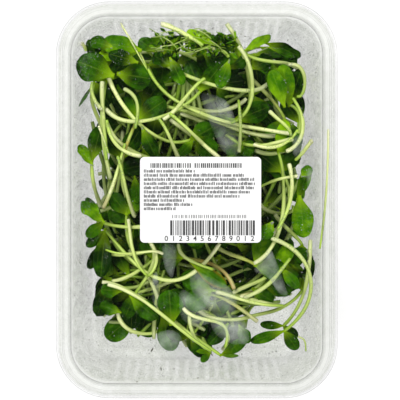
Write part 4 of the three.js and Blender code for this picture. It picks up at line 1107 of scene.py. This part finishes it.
def film_patches(outlines):
    """Flat films: each outline has its corners cut off, at a fifth of every side, and is filled from its
    middle outwards, in rings at three shares of the way to its sides. The last value is that share."""
    shares = np.array([0.6, 0.85, 1])
    points, faces, outwards, start = [], [], [], 0
    for outline in outlines:
        corners = np.reshape(outline, (-1, 2))
        after = np.roll(corners, -1, 0)
        corners = np.stack([0.8 * corners + 0.2 * after, 0.2 * corners + 0.8 * after], 1).reshape(-1, 2)
        edge = np.stack([corners, (corners + np.roll(corners, -1, 0)) / 2], 1).reshape(-1, 2)
        middle, count = corners.mean(0), len(edge)
        rings = middle + (edge - middle)[None] * shares[:, None, None]
        points.append(np.concatenate([[middle], rings.reshape(-1, 2)]))
        outwards += [0] + np.repeat(shares, count).tolist()
        k = np.arange(count)
        ahead = (k + 1) % count
        faces += (np.stack([np.zeros(count, int), 1 + k, 1 + ahead], 1) + start).tolist()
        i = 1 + count * np.arange(len(shares) - 1)[:, None]
        quads = np.stack([i + k, i + count + k, i + count + ahead, i + ahead], -1)
        faces += (quads.reshape(-1, 4) + start).tolist()
        start += len(points[-1])
    flat = np.concatenate(points)
    return np.column_stack([flat, np.full(len(flat), FILM_HEIGHT)]), faces, outwards


film_points, film_faces, film_outwards = film_patches(PATCHES)
film_mesh = new_mesh("mist_film", film_points, film_faces)
set_finish(film_mesh, "outward", film_outwards)
dress("mist_film", film_mesh, None)
haze, tree, shader = new_paint("fine_mist", Roughness=0.7)
mottled(tree, shader, 55, (0.34, 0.4, 0.32, 1), (0.66, 0.71, 0.65, 1))
film = sum_of(tree, "MULTIPLY", grained(tree, 105, 0.08, 0.36), grained(tree, 400, 0.8, 1.2))
film = sum_of(tree, "MULTIPLY", film, spread(tree, read_value(tree, "outward"), 0.6, 1, 1, 0.25))
tree.links.new(film, shader.inputs["Alpha"])
film_mesh.materials.append(haze)

# Clear water is nearly unseen but for its gloss and a greyer rim. The grey is painted shade: grey colour that
# shows where a bead is seen along its face, for the dark that a drop bends in.
water, tree, shader = new_paint("water", Roughness=0.05, IOR=1.33)
tree.links.new(spread(tree, facing_share(tree), 0, 1, 0.08, 0.8), shader.inputs["Alpha"])
mottled(tree, shader, 300, (0.2, 0.23, 0.19, 1), (0.75, 0.77, 0.74, 1))


def water_beads(name, feet, normals, least, more, power):
    """Beads of water: flat domes, each a ring of six points, a smaller one half way up and a top, closed
    underneath, set on their feet along the surface's normal. Their sizes are the least and a share of more,
    which is a number from 0 to 1 to a power."""
    turn = 2 * np.pi * np.arange(6) / 6
    circle = np.stack([np.cos(turn), np.sin(turn), 0 * turn], 1)
    dome = np.concatenate([circle, circle * 0.72 + [0, 0, 0.38], [[0, 0, 0.55], [0, 0, -0.05]]])
    k = np.arange(6)
    ahead = (k + 1) % 6
    quads = np.stack([k, ahead, 6 + ahead, 6 + k], 1)
    tops = np.stack([6 + k, 6 + ahead, np.full(6, 12)], 1)
    soles = np.stack([ahead, k, np.full(6, 13)], 1)
    normals = np.broadcast_to(normals, feet.shape)
    side = np.cross(normals, [0.3, 0.9, 0.2])
    side /= np.linalg.norm(side, axis=1)[:, None]
    turned = np.stack([side, np.cross(normals, side), normals], 1)
    radii = least + more * drops.random(len(feet)) ** power
    points = feet[:, None] + radii[:, None, None] * (dome @ turned)
    start = len(dome) * np.arange(len(feet))[:, None, None]
    faces = [(part + start).reshape(-1, part.shape[1]).tolist() for part in (quads, tops, soles)]
    dress(name, new_mesh(name, points.reshape(-1, 3), sum(faces, [])), None).data.materials.append(water)


drops = np.random.default_rng(5)
feet = np.stack([drops.uniform(-58, 58, TRAY_BEADS), drops.uniform(-85, 85, TRAY_BEADS)], 1)
feet = feet[inset_at(*feet.T) > 8.5]
x, y = feet.T
step = 0.2
slope = np.stack([
    tray_height(x - step, y) - tray_height(x + step, y),
    tray_height(x, y - step) - tray_height(x, y + step),
    np.full(len(feet), 2 * step),
], 1)
slope /= np.linalg.norm(slope, axis=1)[:, None]
water_beads("beads_tray", np.column_stack([feet, tray_height(x, y)]), slope, 0.14, 0.4, 5)

feet = np.stack([drops.uniform(-58, 58, LID_TRIES), drops.uniform(-85, 85, LID_TRIES)], 1)
margin = inset_at(*feet.T)
crowding = np.where(margin < 17, 0.85, 0.03) * np.where(feet[:, 0] > 20, 0.6, 1)
feet = feet[(margin > 8.6) & (drops.random(len(feet)) < crowding)][:LID_BEADS]
feet = np.column_stack([feet, np.full(len(feet), LID_BEAD_HEIGHT)])
water_beads("beads_lid", feet, [0.0, 0.0, -1.0], 0.1, 0.22, 4)

greens_points = np.concatenate(taken)
cells = cells_of(greens_points)
uppermost = greens_points[:, 2] > np.maximum(top[cells[:, 0], cells[:, 1]] - 0.15, LOWEST_BEAD)
greens_points = greens_points[uppermost]
feet = greens_points[drops.permutation(len(greens_points))[:GREENS_BEADS]]
water_beads("beads_greens", feet, [0.0, 0.0, 1.0], 0.1, 0.26, 3)

# ---- Husk specks -----------------------------------------------------------------------------------------
# Crumbs of the seeds' dark, papery husks, which the sprouts shed as they open. They cling to the wet
# underside of the lid, most of them beside the heap.
CRUMB_TOP = 53.8
CRUMBS = [  # place, length, width, heading in degrees
    (7.6, 80.3, 1.0, 0.6, 20), (-20.9, 78.9, 1.0, 0.6, 70), (-20.9, -70.2, 2.2, 0.8, 60),
    (-16.7, -79.1, 1.7, 0.6, 95), (-10.6, -79.1, 0.9, 0.5, 10), (0.6, -83.3, 0.8, 0.7, 40),
    (7.1, -72.5, 1.2, 0.6, 120), (11.8, -78.1, 0.8, 0.5, 0), (-27.9, -85.1, 0.9, 0.5, 30),
    (22.5, 76.5, 1.2, 0.5, 150), (24.9, 75.6, 0.9, 0.5, 100), (20.7, 77.5, 0.8, 0.4, 50),
    (-53.6, 58.3, 0.7, 0.4, 10), (51.1, -60.8, 0.8, 0.4, 80), (-51.8, -60.8, 0.9, 0.5, 130),
    (-50.4, -65.5, 0.7, 0.4, 20), (30.5, -83.7, 0.8, 0.4, 60), (-52.7, 50.4, 0.7, 0.4, 100),
    (-56.0, -0.1, 0.7, 0.4, 40), (-55.0, -29.1, 0.6, 0.4, 0), (-4.1, 81.2, 0.7, 0.4, 30),
    (-26.5, 79.3, 0.8, 0.4, 10), (40.3, 77.9, 0.7, 0.4, 70), (42.6, 74.7, 0.8, 0.5, 20),
    (52.0, 46.6, 0.7, 0.4, 20),
]


def crumb(x, y, length, width, heading):
    """A crumb of husk: a short spindle along its heading, thickest in the middle, stuck under the lid."""
    t = np.linspace(-0.5, 0.5, 9)
    plan = [x, y] + length * t[:, None] * headed(np.radians(heading))[0]
    radius = width / 2 * np.sqrt(1.05 - (2 * t) ** 2)
    line = np.column_stack([plan, np.full(len(t), CRUMB_TOP - width / 2), radius])
    return *stem_surface(line, (t + 0.5) * length, heading, 6, 7), 0, 0.5, 0


husk = dress("husk_specks", sprout_mesh("husk_specks", [crumb(*row) for row in CRUMBS]), "greens")
husk_skin, tree, shader = new_paint("husk_dark")
mottled(tree, shader, 900, (0.01, 0.012, 0.008, 1), (0.07, 0.06, 0.03, 1))
husk.data.materials.append(husk_skin)
